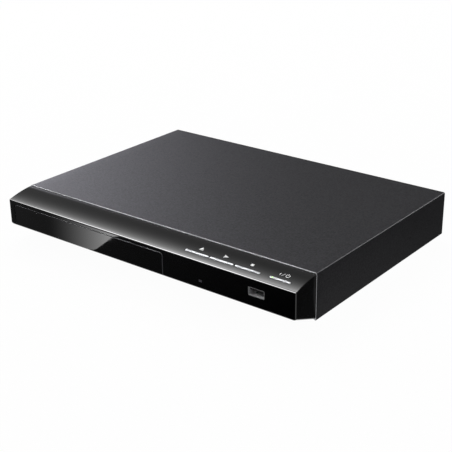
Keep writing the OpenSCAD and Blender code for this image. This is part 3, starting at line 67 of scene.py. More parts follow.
# The front panel's side outline
CHIN_Z, NOSE_Z, CREST_Z, HEEL_Z = 13.4 * MM, 33.3 * MM, 37.9 * MM, 4.5 * MM
ARC_Y, ARC_Z, ARC_R = -74.896 * MM, -49.921 * MM, 88 * MM
CHIN_R, NOSE_R = 2 * MM, 1 * MM
BELLY_A = math.atan2(CHIN_Z - HEEL_Z, SEAM - FRONT)
WALL = 2.2 * MM  # of the front panel
SHEET, FOLD_R = 0.8 * MM, 1.3 * MM  # of the cover
PAST = 1 * MM  # how far a cutting solid reaches past what it cuts

# The tray door, its recess and the mouth behind it
DOOR_X0, DOOR_X1, DOOR_Z1 = -129 * MM, 23 * MM, 30.5 * MM
DOOR_T, DOOR_GAP, DOOR_CORNER = 2.2 * MM, 0.4 * MM, 2 * MM
RECESS_Y = FRONT + DOOR_T + DOOR_GAP
LEDGE_T, LEDGE_PAST = 1.4 * MM, 2.6 * MM
TRAY_LOW = LOW + 16 * MM
MOUTH_X0, MOUTH_X1, MOUTH_Z0, MOUTH_Z1 = -123 * MM, 17 * MM, 17 * MM, 29.3 * MM
LOADER_X = (DOOR_X0 + DOOR_X1) / 2

# The row of buttons, in the plane that lies on the slope
ROW_Y = -97 * MM
ROW_Z = ARC_Z + math.sqrt(ARC_R**2 - (ROW_Y - ARC_Y) ** 2)
ROW_A = math.asin((ARC_Y - ROW_Y) / ARC_R)
STRIPS = {
    "eject_button": (39.0 * MM, 59.19 * MM),
    "play_button": (60.19 * MM, 80.29 * MM),
    "stop_button": (81.5 * MM, 102.0 * MM),
    "power_button": (109.6 * MM, 126.4 * MM),
}
STRIP_W, STRIP_SLIM, STRIP_GAP, STRIP_RISE = 1.8 * MM, 0.2 * MM, 0.3 * MM, 0.35 * MM
FLANGE_Z, STEM_Z = -3.7 * MM, -4.4 * MM
LIGHT_X, LIGHT_R = 112.0 * MM, 0.45 * MM

# Windows in the face
IR_X, IR_Z, IR_W, IR_H, IR_GAP = 56.8 * MM, 19.1 * MM, 2.7 * MM, 1.7 * MM, 0.1 * MM
PORT_X, PORT_Z, PORT_W, PORT_H, PORT_GAP = 103.5 * MM, 24 * MM, 13 * MM, 6 * MM, 0.2 * MM

# Where the photograph was taken from
CAMERA_AT = (0.4543, -0.5769, 0.3220)
CAMERA_AZIMUTH, CAMERA_ELEVATION, CAMERA_ROLL = 141.64, 23.04, -0.74
CAMERA_LENS, SENSOR = 81.13, 36

WHITE = (1.0, 1.0, 1.0, 1.0)


# ---------------------------------------------------------------- shapes


def slope_z(y):
    """Height of the sloping top at y: the upper half of a circle round (ARC_Y, ARC_Z)."""
    return ARC_Z + np.sqrt(ARC_R**2 - (y - ARC_Y) ** 2)


def belly_z(y):
    """Height of the underside at y: a straight line that falls from the chin to the heel."""
    return CHIN_Z - (y - FRONT) * math.tan(BELLY_A)


def fillet(a, corner, b, radius, count):
    """Points of the arc that touches the lines corner-a and corner-b, from a's side to b's."""
    a, corner, b = (np.array(p, float) for p in (a, corner, b))
    u = (a - corner) / np.linalg.norm(a - corner)
    v = (b - corner) / np.linalg.norm(b - corner)
    half = math.acos(float(np.clip(u @ v, -1, 1))) / 2
    middle = corner + (u + v) / np.linalg.norm(u + v) * radius / math.sin(half)
    p = corner + u * radius / math.tan(half) - middle
    q = corner + v * radius / math.tan(half) - middle
    turn = math.pi - 2 * half
    t = np.linspace(0, 1, count)[:, None]
    return middle + (p * np.sin(turn * (1 - t)) + q * np.sin(turn * t)) / math.sin(turn)


def outward(loop):
    """Unit normals of a closed outline in its plane: the chord between the neighbours, turned
    by a quarter, and pointing away from the inside."""
    chord = np.roll(loop, -1, 0) - np.roll(loop, 1, 0)
    normal = np.stack([chord[:, 1], -chord[:, 0]], 1)
    normal /= np.maximum(np.linalg.norm(normal, axis=1), 1e-12)[:, None]
    x, y = loop.T
    area = np.sum(x * np.roll(y, -1) - np.roll(x, -1) * y)
    return normal if area > 0 else -normal


def rounding(radius, distance):
    """How far a rounding draws a surface in, at a distance d from its end: within the radius r,
    r - sqrt(r^2 - (r - d)^2), and nothing beyond it."""
    return radius - np.sqrt(np.maximum(radius**2 - np.maximum(radius - distance, 0) ** 2, 0))


def moved_in(loop, normal, inset):
    """Both coordinates of an outline, moved inwards along its normals by each row's inset."""
    return (loop[None, :, 0] - normal[None, :, 0] * inset,
            loop[None, :, 1] - normal[None, :, 1] * inset)


def signed_volume(a, b, c):
    """Six times the volume between the origin and triangles, from their corners (faces, 3)."""
    return np.einsum("ij,ij->i", a, np.cross(b, c)).sum()


def sheet_mesh(name, grid, ring=True, caps=True, rungs=False):
    """A mesh from a grid of points (rows, columns, 3). Columns close on themselves where ring is
    set, and caps closes the first and the last row: with one face each, or for a bent strip with
    rungs from each point to the one as far from the row's other end. The faces are turned
    outwards by the sign of the volume that they hold."""
    rows, cols = grid.shape[:2]
    index = np.arange(rows * cols).reshape(rows, cols)
    right = np.roll(index, -1, 1) if ring else index[:, 1:]
    here = index if ring else index[:, :-1]
    quads = np.stack([here[:-1], right[:-1], right[1:], here[1:]], -1).reshape(-1, 4)
    points = grid.reshape(-1, 3)
    a, b, c, d = np.moveaxis(points[quads], 1, 0)
    volume = signed_volume(a, b, c) + signed_volume(a, c, d)
    faces = quads.tolist()
    if caps:
        for end in (index[0][::-1], index[-1]):
            q = points[end]
            volume += signed_volume(np.repeat(q[:1], len(q) - 2, 0), q[1:-1], q[2:])
            i = np.arange(cols // 2 - 1)
            ladder = np.stack([end[i], end[i + 1], end[cols - 2 - i], end[cols - 1 - i]], -1)
            faces += ladder.tolist() if rungs else [end.tolist()]
    if volume < 0:
        faces = [face[::-1] for face in faces]
    mesh = bpy.data.meshes.new(name)
    mesh.from_pydata(points.tolist(), [], faces)
    return mesh


def carried(name, along, first, second, axis=0, rungs=False):
    """A closed outline carried along an axis: its other two coordinates at each step."""
    shape = (len(along), first.shape[-1])
    parts = [np.broadcast_to(part, shape) for part in (first, second)]
    parts.insert(axis, np.broadcast_to(along[:, None], shape))
    return sheet_mesh(name, np.stack(parts, -1), rungs=rungs)


def placed(name, data):
    """A new object for the data, in the scene."""
    obj = bpy.data.objects.new(name, data)
    bpy.context.scene.collection.objects.link(obj)
    return obj


def piece(name, mesh):
    """A new object for the mesh, smooth where faces meet at less than 30 degrees."""
    mesh.name = name
    mesh.shade_smooth()
    mesh.set_sharp_from_angle(angle=math.radians(30))
    mesh.update()
    return placed(name, mesh)


def points_of(mesh):
    """The places of a mesh's vertices (points, 3)."""
    co = np.empty(len(mesh.vertices) * 3)
    mesh.vertices.foreach_get("co", co)
    return co.reshape(-1, 3)


def mark_edges(mesh, closeness):
    """Stores on each vertex how near it is to an edge, from 0 to 1, for the finish to read."""
    layer = mesh.attributes.new("edge", "FLOAT", "POINT")
    layer.data.foreach_set("value", closeness(points_of(mesh)).astype(np.float32))


def joined(meshes):
    """One mesh that holds all the faces of several."""
    points, faces, start = [], [], 0
    for mesh in meshes:
        points.append(points_of(mesh))
        faces += [[start + v for v in face.vertices] for face in mesh.polygons]
        start += len(mesh.vertices)
    whole = bpy.data.meshes.new("joined")
    whole.from_pydata(np.concatenate(points).tolist(), [], faces)
    for mesh in meshes:
        bpy.data.meshes.remove(mesh)
    return whole


def carved(mesh, add=(), cut=()):
    """The mesh with solids added to it and others cut out of it, worked out exactly."""
    obj = placed("carving", mesh)
    tools = []
    for operation, solids in (("UNION", add), ("DIFFERENCE", cut)):
        for solid in solids:
            tools.append(placed("tool", solid))
            step = obj.modifiers.new("carve", "BOOLEAN")
            step.operation, step.solver, step.object = operation, "EXACT", tools[-1]
    bpy.context.view_layer.update()
    deps = bpy.context.evaluated_depsgraph_get()
    made = bpy.data.meshes.new_from_object(obj.evaluated_get(deps))
    for used in [obj, *tools]:
        bpy.data.objects.remove(used)
    return made


def loop_solid(loop, profile, place):
    """A closed outline (points, 2) carried through a profile of (inset, height) pairs: each row
    is the outline moved inwards by the inset along its own normals. place turns the (a, b,
    height) points into the part's frame."""
    normal = outward(loop)
    rows = [np.column_stack([loop - normal * inset, np.full(len(loop), height)])
            for inset, height in profile]
    return sheet_mesh("solid", place(np.array(rows)))


def round_profile(low, high, radius, count=6, foot=0.0):
    """(inset, height) pairs of a wall from low to high whose upper edge is a quarter circle of
    the radius, and whose lower edge is one of the foot's radius."""
    a = np.linspace(math.pi / 2, 0, count)
    b = a[::-1]
    lower = zip(foot - foot * np.cos(a), low + foot - foot * np.sin(a))
    upper = zip(radius - radius * np.cos(b), high - radius + radius * np.sin(b))
    return [*(lower if foot > 0 else [(0.0, low)]), *(upper if radius > 0 else [(0.0, high)])]


def arc_points(x, y, radius, angles):
    """Points of a circle round (x, y) at the angles: radius times cosine and sine."""
    return np.column_stack([x + radius * np.cos(angles), y + radius * np.sin(angles)])


def round_rect(x0, y0, x1, y1, radius, count=8):
    """Outline of a rectangle whose corners are quarter circles, counter-clockwise."""
    r = max(radius, 1e-6)
    a = np.linspace(0, math.pi / 2, count)
    centres = ((x1 - r, y1 - r), (x0 + r, y1 - r), (x0 + r, y0 + r), (x1 - r, y0 + r))
    return np.concatenate([arc_points(x, y, r, a + k * math.pi / 2)
                           for k, (x, y) in enumerate(centres)])


def disc_loop(x, y, radius, count=48):
    """Outline of a circle."""
    return arc_points(x, y, radius, np.arange(count) * 2 * math.pi / count)


def on_slope(points):
    """(along, up the slope, off the slope) to the part's frame: turned by the slope's angle
    about the row of buttons."""
    along, up, off = np.moveaxis(points, -1, 0)
    c, s = math.cos(ROW_A), math.sin(ROW_A)
    return np.stack([along, ROW_Y + up * c - off * s, ROW_Z + up * s + off * c], -1)


def facing_front(points):
    """(x, z, y) to the part's frame, for outlines drawn in the upright plane."""
    x, z, y = np.moveaxis(points, -1, 0)
    return np.stack([x, y, z], -1)


def prism(loop, low, high, place=facing_front):
    """A straight solid: an outline carried from one height to another."""
    return loop_solid(loop, [(0, low), (0, high)], place)


def upright(points):
    """(x, y, z) as it is, for outlines drawn in plan."""
    return points


def block(lo, hi, radius=0.0):
    """A block from corner to corner with its plan corners and edges rounded."""
    loop = round_rect(lo[0], lo[1], hi[0], hi[1], max(radius, 0.02 * MM), 5)
    return loop_solid(loop, round_profile(lo[2], hi[2], radius * 0.5, 4, radius * 0.5), upright)


def panel_side():
    """The front panel's side outline, from the heel along the underside, round the chin, up the
    face, round the nose and back along the slope's arc, with the radius of the rounding that
    each point has at the panel's ends."""
    heel, chin, nose = (SEAM, HEEL_Z), (FRONT, CHIN_Z), (FRONT, NOSE_Z)
    y = FRONT + (SEAM - FRONT) * np.linspace(0, 1, 60)
    arc = np.column_stack([y, slope_z(y)])
    belly_y = np.linspace(SEAM, FRONT + 1.2 * MM, 14)
    belly = np.column_stack([belly_y, belly_z(belly_y)])
    under = fillet(heel, chin, nose, CHIN_R, 12)
    over = fillet(chin, nose, arc[4], NOSE_R, 12)
    face_z = np.linspace(under[-1, 1], over[0, 1], 12)[1:-1]
    face = np.column_stack([np.full(len(face_z), FRONT), face_z])
    belly = belly[belly[:, 0] > under[0, 0] + 0.1 * MM]
    arc = arc[arc[:, 0] > over[-1, 0] + 0.1 * MM]
    side = np.concatenate([belly, under, face, over, arc])
    radius = np.concatenate([np.linspace(*ends, len(part)) for part, ends in (
        (belly, (3.0, 3.0)), (under, (3.0, 1.0)), (face, (1.0, 1.0)), (over, (1.0, 0.5)),
        (arc, (0.5, 0.5)))]) * MM
    return side, radius


def steps_across(start, stop, roundings, plain, count):
    """Places from start to stop, and how far each is from the nearer end. Near both ends they
    sample roundings, each a radius and a count, evenly by angle: radius (1 - cos a). The rest,
    from plain inwards, is even."""
    near = np.unique(np.round(np.concatenate([
        radius * (1 - np.cos(np.linspace(0, math.pi / 2, steps))) for radius, steps in roundings
    ]), 7))
    at = np.concatenate([start + near, np.linspace(start + plain, stop - plain, count),
                         (stop - near)[::-1]])
    return at, np.minimum(at - start, stop - at)[:, None]


def panel_form():
    """The panel's outside: its side outline carried across the width, each point drawn in along
    its normal near the ends by its rounding."""
    side, radius = panel_side()
    normal = outward(side)
    # the two back points keep the normals of the surfaces that end there
    normal[0] = (-math.sin(BELLY_A), -math.cos(BELLY_A))
    a = math.asin((ARC_Y - SEAM) / ARC_R)
    normal[-1] = (-math.sin(a), math.cos(a))
    x, d = steps_across(LEFT, RIGHT, ((3 * MM, 12), (1 * MM, 8), (0.5 * MM, 6)), 5 * MM, 90)
    y, z = moved_in(side, normal, rounding(radius[None, :], d))
    return carried("form", x, np.minimum(y, SEAM), z)


def panel_hollow():
    """The room inside the panel: the side outline moved inwards by the wall, open at the back."""
    y = np.linspace(FRONT + WALL, SEAM + PAST, 24)
    roof = ARC_Z + np.sqrt((ARC_R - WALL) ** 2 - (y - ARC_Y) ** 2)
    floor = belly_z(y) + WALL / math.cos(BELLY_A)
    x = np.array([LEFT + WALL, RIGHT - WALL])
    return carried("hollow", x, np.concatenate([y, y[::-1]]), np.concatenate([floor, roof[::-1]]))


def ledge():
    """The plate behind the door with the tray's mouth in it, cut off below at the underside."""
    y = np.array([RECESS_Y, RECESS_Y + LEDGE_T])
    low, high = belly_z(y) + 0.6 * MM, slope_z(y) - 1 * MM
    x = np.linspace(DOOR_X0 - LEDGE_PAST, DOOR_X1 + LEDGE_PAST, 3)
    return carried("ledge", x, y[[0, 0, 1, 1]], np.array([low[0], high[0], high[1], low[1]]))


def strip_loop(x0, x1, width, count=12):
    """Outline of a strip whose ends are half circles."""
    return round_rect(x0, -width / 2, x1, width / 2, width / 2 - 0.001 * MM, count)


def face_window(x, z, width, height, gap, radius, count):
    """A cutting solid for a window in the face, larger than what fills it by the gap."""
    a, b = width / 2 + gap, height / 2 + gap
    return prism(round_rect(x - a, z - b, x + a, z + b, radius, count), FRONT - PAST,
                 FRONT + 4 * MM)


# ---------------------------------------------------------------- finishes


def linear(hexa):
    """An sRGB hex colour as linear RGBA: c / 12.92 below 0.04045, else ((c + 0.055) / 1.055)
    to the power of 2.4. A colour that is linear already passes through."""
    if not isinstance(hexa, str):
        return (*(float(c) for c in hexa[:3]), 1.0)
    rgb = np.array([int(hexa[i:i + 2], 16) for i in (1, 3, 5)]) / 255
    rgb = np.where(rgb <= 0.04045, rgb / 12.92, ((rgb + 0.055) / 1.055) ** 2.4)
    return (*(float(c) for c in rgb), 1.0)


def add(tree, kind, sockets=None, **settings):
    """Adds a node. settings are its own properties, and sockets gives its inputs by name or
    number: a node's first output or a given output is linked, anything else is set."""
    new = tree.nodes.new("ShaderNode" + kind)
    for key, value in settings.items():
        setattr(new, key, value)
    for key, value in (sockets or {}).items():
        value = value.outputs[0] if isinstance(value, bpy.types.Node) else value
        if isinstance(value, bpy.types.NodeSocket):
            tree.links.new(value, new.inputs[key])
        else:
            new.inputs[key].default_value = value
    return new


def toned(colour, share):
    """A colour made darker or lighter: its linear RGB times the share, at most 1."""
    return (*(float(c) for c in np.minimum(np.array(linear(colour)[:3]) * share, 1)), 1.0)


def new_material(name):
    """An empty node material, the function that adds nodes to it, and the place on the object
    in metres."""
    material = bpy.data.materials.new(name)
    material.use_nodes = True
    material.node_tree.nodes.clear()
    node = partial(add, material.node_tree)
    return material, node, node("TexCoord").outputs["Object"]


def per_metre(size_mm):
    """Scale of a pattern whose features are size_mm across, on coordinates in metres."""
    return 1 / (size_mm * MM)


def surface(name, colour, roughness, metallic=0.0, grain_mm=0.3, grain=0.1, tone=0.06,
            streak=None, cloud_mm=18.0, **shader):
    """A solid finish: the colour varies softly over cloud_mm by tone, and the grain gives bump
    and a swing of roughness. streak stretches the grain along an axis, as a rolled or brushed
    surface has it, and shader gives sockets of their own."""
    material, node, place = new_material(name)
    if streak is not None:
        place = node("Mapping", {"Vector": place, "Scale": streak})
    fine = node("TexNoise", {"Vector": place, "Scale": per_metre(grain_mm), "Detail": 3.0,
                             "Roughness": 0.6})
    cloud = node("TexNoise", {"Vector": place, "Scale": per_metre(cloud_mm), "Detail": 2.0})
    both = node("Math", {0: fine, 1: cloud}, operation="ADD")
    amount = node("MapRange", {0: both, 1: 0.7, 2: 1.3})
    paint = node("Mix", {"Factor": amount, 6: toned(colour, 1 - tone),
                         7: toned(colour, 1 + tone)}, data_type="RGBA").outputs[2]
    swing = 0.08
    rough = node("MapRange", {0: both, 1: 0.7, 2: 1.3, 3: max(roughness - swing, 0.02),
                              4: roughness + swing})
    bump = node("Bump", {"Height": fine, "Strength": grain, "Distance": grain_mm * MM * 0.3})
    body = node("BsdfPrincipled", {"Base Color": paint, "Roughness": rough,
                                   "Metallic": metallic, "Normal": bump, **shader})
    node("OutputMaterial", {"Surface": body})
    return material


def textured_paint(name, colour, highlight_colour):
    """Matt polyester powder coat, baked on folded steel: a fine orange-peel grain that breaks
    the reflection into a soft sparkle, with a painted highlight along the cut front edge."""
    material, node, place = new_material(name)
    # real grain is about 0.15 mm; it is drawn at 1.3 mm so that it shows in a small picture
    fine = node("TexNoise", {"Vector": place, "Scale": per_metre(1.3), "Detail": 4.0,
                             "Roughness": 0.65})
    fleck = node("TexVoronoi", {"Vector": place, "Scale": per_metre(0.9)})
    cloud = node("TexNoise", {"Vector": place, "Scale": per_metre(35), "Detail": 2.0})
    height = node("Math", {0: fine, 1: fleck}, operation="ADD")
    shade = node("MapRange", {0: fine, 1: 0.35, 2: 0.65})
    paint = node("Mix", {"Factor": shade, 6: toned(colour, 0.6), 7: toned(colour, 1.48)},
                 data_type="RGBA").outputs[2]
    faded = node("MapRange", {0: cloud, 1: 0.3, 2: 0.7, 4: 0.12})
    paint = node("Mix", {"Factor": faded, 6: paint, 7: toned(colour, 1.6)},
                 data_type="RGBA").outputs[2]
    # painted highlight along the sheet's front edge: a near-white in short strokes for the light
    # that the fold catches, most on the outer corner of the cut
    x, y, z = node("SeparateXYZ", {0: place}).outputs
    across = node("Math", {0: x}, operation="ABSOLUTE")
    stroke = node("TexNoise", {"Vector": place, "Scale": per_metre(2.2)})
    rim, upper, outer, stroke = (
        node("MapRange", {0: value, 1: start, 2: stop, 3: low})
        for value, start, stop, low in (
            (y, SEAM + 0.5 * MM, SEAM + 0.2 * MM, 0.0), (z, TOP - 0.5 * MM, TOP - 0.25 * MM, 0.1),
            (across, RIGHT - 0.5 * MM, RIGHT - 0.25 * MM, 0.1), (stroke, 0.3, 0.7, 0.75)))
    outer = node("Math", {0: outer, 1: upper}, operation="MAXIMUM")
    for share in (outer, stroke):
        rim = node("Math", {0: rim, 1: share}, operation="MULTIPLY")
    paint = node("Mix", {"Factor": rim, 6: paint, 7: linear(highlight_colour)},
                 data_type="RGBA").outputs[2]
    rough = node("MapRange", {0: height, 1: 0.4, 2: 1.4, 3: 0.27, 4: 0.40})
    bump = node("Bump", {"Height": height, "Strength": 0.45, "Distance": 0.06 * MM})
    # the pits of the grain give back less of the light
    shine = node("MapRange", {0: fine, 1: 0.35, 2: 0.65, 3: 0.34, 4: 0.66})
    body = node("BsdfPrincipled", {"Base Color": paint, "Roughness": rough,
                                   "Specular Tint": (0.95, 0.94, 1.0, 1.0),
                                   "Specular IOR Level": shine, "Normal": bump})
    node("OutputMaterial", {"Surface": body})
    return material


def gloss_plastic(name, colour, highlight_colour):
    """High-gloss black ABS from a polished mould: deep black under a mirror, with the slight
    waviness of moulded plastic and a haze of wiping marks in its roughness."""
    material, node, place = new_material(name)
    wave = node("TexNoise", {"Vector": place, "Scale": per_metre(14), "Detail": 1.0})
    wiped = node("Mapping", {"Vector": place, "Scale": (0.25, 1.0, 1.0)})
    haze = node("TexNoise", {"Vector": wiped, "Scale": per_metre(3), "Detail": 4.0})
    rough = node("MapRange", {0: haze, 1: 0.35, 2: 0.7, 3: 0.035, 4: 0.08})
    bump = node("Bump", {"Height": wave, "Strength": 0.06, "Distance": 0.08 * MM})
    deep = node("Mix", {"Factor": haze, 6: toned(colour, 0.85), 7: toned(colour, 1.15)},
                data_type="RGBA").outputs[2]
    # painted highlight: a grey on the marked edges for the light that the rim catches; matt there
    edge_highlight = node("Attribute", attribute_name="edge").outputs["Fac"]
    deep = node("Mix", {"Factor": edge_highlight, 6: deep, 7: linear(highlight_colour)},
                data_type="RGBA").outputs[2]
    rough = node("Math", {0: edge_highlight, 1: 0.3, 2: rough}, operation="MULTIPLY_ADD")
    body = node("BsdfPrincipled", {"Base Color": deep, "Roughness": rough, "Normal": bump,
                                   "IOR": 1.5})
    node("OutputMaterial", {"Surface": body})
    return material


def clear_plastic(name, colour, glow=0.0):
    """Clear tinted acrylic or polycarbonate with polished faces: it passes a little light and
    shows a sharp highlight."""
    material, node, place = new_material(name)
    haze = node("TexNoise", {"Vector": place, "Scale": per_metre(0.8)})
    rough = node("MapRange", {0: haze, 1: 0.3, 2: 0.7, 3: 0.05, 4: 0.16})
    tint = node("Mix", {"Factor": haze, 6: toned(colour, 0.9), 7: linear(colour)},
                data_type="RGBA").outputs[2]
    body = node("BsdfPrincipled", {
        "Base Color": tint, "Roughness": rough, "IOR": 1.49, "Transmission Weight": 0.35,
        "Emission Color": linear(colour), "Emission Strength": glow})
    node("OutputMaterial", {"Surface": body})
    return material


def ribbon(name, colour, stripe):
    """Polyester film laid over flat copper strips 1 mm apart, which show through as stripes."""
    material, node, place = new_material(name)
    # a wave texture of scale 1 repeats every 2 pi / 20
    wave = node("TexWave", {"Vector": place, "Scale": per_metre(1.0) * math.pi / 10},
                bands_direction="X", wave_profile="SIN").outputs[1]
    fine = node("TexNoise", {"Vector": place, "Scale": per_metre(2)})
    paint = node("Mix", {"Factor": wave, 6: linear(colour), 7: linear(stripe)},
                 data_type="RGBA").outputs[2]
    rough = node("MapRange", {0: fine, 1: 0.3, 2: 0.7, 3: 0.3, 4: 0.45})
    bump = node("Bump", {"Height": wave, "Strength": 0.2, "Distance": 0.05 * MM})
    body = node("BsdfPrincipled", {"Base Color": paint, "Roughness": rough, "Normal": bump})
    node("OutputMaterial", {"Surface": body})
    return material


def spangled_zinc(name, colour):
    """Zinc-plated steel sheet: a bright grey metal with flat crystals about 6 mm across that
    differ a little in tone and gloss."""
    material, node, place = new_material(name)
    crystal = node("TexVoronoi", {"Vector": place, "Scale": per_metre(6)}).outputs[1]
    tone = node("RGBToBW", {0: crystal})
    fine = node("TexNoise", {"Vector": place, "Scale": per_metre(0.5), "Detail": 3.0})
    paint = node("Mix", {"Factor": tone, 6: toned(colour, 0.85), 7: toned(colour, 1.1)},
                 data_type="RGBA").outputs[2]
    rough = node("MapRange", {0: tone, 3: 0.28, 4: 0.46})
    bump = node("Bump", {"Height": fine, "Strength": 0.12, "Distance": 0.05 * MM})
    body = node("BsdfPrincipled", {"Base Color": paint, "Roughness": rough,
                                   "Metallic": 1.0, "Normal": bump})
    node("OutputMaterial", {"Surface": body})
    return material


def finishes(colours):
    """Every finish of the player, by the name of its slot in the record."""
    return {
        # the near-white is the painted highlight on the cover's front edge
        "cover_paint": textured_paint("powder_coated_steel", colours.cover, "#e8e9ec"),
        # the grey is the painted highlight on the tray door's rim
        "gloss_black": gloss_plastic("polished_black_abs", colours.panel, "#5a5a5f"),
        "zinc_sheet": spangled_zinc("zinc_plated_steel", "#b4b8bc"),
        # satin paint on the rear plate: smoother than the cover's, with a faint grain
        "rear_paint": surface("satin_painted_steel", "#19191b", 0.48, grain_mm=0.5, grain=0.2),
        # nitrile rubber, moulded: dull, dark and slightly dusty
        "rubber": surface("moulded_nitrile_rubber", "#161616", 0.75, grain_mm=0.6, grain=0.35),
        # black zinc on screws: a dark metal with a faint blue-green lustre
        "black_zinc": surface("black_zinc_plating", "#2b2d2f", 0.35, 0.9, 0.3, 0.1),
        # smoked acrylic in front of the receiver
        "ir_tint": clear_plastic("smoked_acrylic", "#5b5860"),
        # clear green polycarbonate pipe that carries the lamp's light
        "light_pipe": clear_plastic("green_polycarbonate", "#a8e85a", 1.1),
        # nickel on pressed steel: bright, warm grey, fine rolling lines
        "nickel": surface("nickel_plated_steel", "#c6c6c8", 0.5, 0.6, 0.25, 0.12,
                          streak=(0.15, 1.0, 1.0)),
        # glass-filled black plastic: dull, with specks of filler
        "dark_plastic": surface("black_pbt", "#1b1b1c", 0.5, grain_mm=0.35, grain=0.2, tone=0.2),
        # green solder mask over copper: glossy lacquer with faint tracks under it
        "board_green": surface("green_solder_mask", "#17502b", 0.3, grain_mm=1.6, grain=0.15,
                               tone=0.3, cloud_mm=5.0),
        # vacuum-metallised plastic under satin lacquer: even, bright, light silver
        "button_silver": surface("satin_metallised_abs", colours.strips, 0.42, 0.2, 2.0, 0.01,
                                 tone=0.03),
        # moulded inserts of the phono sockets: clean, bright, half gloss
        **{tint: surface(f"{tint}_pbt", colour, 0.42, grain_mm=0.4) for tint, colour in (
            ("yellow", "#d9a514"), ("white", "#e4e3de"), ("red", "#b01a1c"),
            ("orange", "#dd6a12"))},
        # turned brass: yellow, with turning marks
        "brass": surface("turned_brass", "#cfae62", 0.26, 1.0, 0.25, 0.15,
                         streak=(1.0, 1.0, 0.2)),
        # spark-eroded black ABS of the loader and tray: an even, dull grain
        "loader_black": surface("spark_textured_abs", "#1d1d1f", 0.55, grain_mm=0.5, grain=0.3,
                                tone=0.15),
        # deep-drawn plated can of a small motor, with lines along the draw
        "motor_can": surface("plated_motor_can", "#a9adb1", 0.3, 1.0, 0.4, 0.12,
                             streak=(1.0, 1.0, 0.15)),
        # natural acetal: waxy, off-white, a little light comes through
        "acetal": surface("natural_acetal", "#e6e3d8", 0.38, grain_mm=0.5, grain=0.08,
                          **{"Subsurface Weight": 0.12, "Subsurface Scale": 0.001}),
        # centreless-ground rod: near mirror with fine rings
        "ground_steel": surface("ground_steel", "#c3c6ca", 0.16, 1.0, 0.15, 0.08,
                                streak=(1.0, 0.1, 1.0)),
        # die-cast zinc: grey metal with a dull cast skin
        "die_cast": surface("die_cast_zinc", "#8d9094", 0.45, 0.9, 0.5, 0.25, tone=0.12),
        # coated lens: clear glass with a faint blue-violet shine
        "lens_glass": clear_plastic("coated_glass", "#a9bce8"),
        # shrink sleeve on capacitors: dark blue, satin
        "cap_sleeve": surface("shrink_sleeve", "#16203f", 0.38, grain_mm=0.8),
        # phenolic paper board: tan, with paper fibres
        "phenolic": surface("phenolic_paper", "#a87b45", 0.5, grain_mm=0.7, grain=0.2, tone=0.15,
                            streak=(0.3, 1.0, 1.0)),
        # polyester tape round the transformer: yellow, glossy, wrinkled
        "yellow_tape": surface("polyester_tape", "#d0a92c", 0.28, grain_mm=2.5, grain=0.3),
        # extruded aluminium: satin, with die lines
        "extrusion": surface("extruded_aluminium", "#a5a8ab", 0.34, 1.0, 0.3, 0.2,
                             streak=(1.0, 1.0, 0.08)),
        "ribbon_film": ribbon("film_over_copper", "#e3e1d8", "#b9a78e"),
    }


MADE = {}


def finish_of(slot_name):
    """The finish for a slot of the record; all are made at the first call."""
    if not MADE:
        MADE.update(finishes(bpy.context.scene.player_colours))
    if slot_name not in MADE:
        raise RuntimeError(f"no finish is made for the slot {slot_name}")
    return MADE[slot_name]


def dress(obj, slot_name, body, node):
    """Gives a new piece its finish and body, and hides the construction node it stands for."""
    obj.data.materials.clear()
    obj.data.materials.append(finish_of(slot_name))
    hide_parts(node)
    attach(obj, body)


# ---------------------------------------------------------------- what a user may change


# what all sizes and all colours in the sidebar have in common
LENGTH = {"precision": 5, "unit": "LENGTH"}
COLOUR = {"subtype": "COLOR", "size": 4, "min": 0, "max": 1}


class PlayerSizes(bpy.types.PropertyGroup):
    """Sizes of the dressed pieces that a user may change"""

    door_edge: bpy.props.FloatProperty(
        name="Door edge", description="Radius of the tray door's edges",
        default=0.35 * MM, min=0.1 * MM, max=0.8 * MM, **LENGTH)
    cover_edge: bpy.props.FloatProperty(
        name="Cover edge", description="Radius of the cover's cut edges",
        default=0.25 * MM, min=0.05 * MM, max=0.38 * MM, **LENGTH)
    strip_edge: bpy.props.FloatProperty(
        name="Strip edge", description="Radius of the button strips' upper edges",
        default=0.3 * MM, min=0.1 * MM, max=0.5 * MM, **LENGTH)
    icon_size: bpy.props.FloatProperty(
        name="Icon size", description="Height of the printed icons",
        default=2.1 * MM, min=1 * MM, max=3 * MM, **LENGTH)


class PlayerColours(bpy.types.PropertyGroup):
    """Colours that a user may change"""

    cover: bpy.props.FloatVectorProperty(
        name="Cover", description="Colour of the cover's powder coat",
        default=linear("#1b1b1e"), **COLOUR)
    panel: bpy.props.FloatVectorProperty(
        name="Front panel", description="Colour of the gloss front and the tray door",
        default=linear("#040405"), **COLOUR)
    strips: bpy.props.FloatVectorProperty(
        name="Button strips", description="Colour of the metallised strips",
        default=linear("#c6c7ca"), **COLOUR)
    icon: bpy.props.FloatVectorProperty(
        name="Icons", description="Colour of the printed icons",
        default=linear("#f0f0f1"), **COLOUR)
    floor: bpy.props.FloatVectorProperty(
        name="Floor", description="Colour of the studio floor",
        default=linear("#ffffff"), **COLOUR)


# ---------------------------------------------------------------- pieces


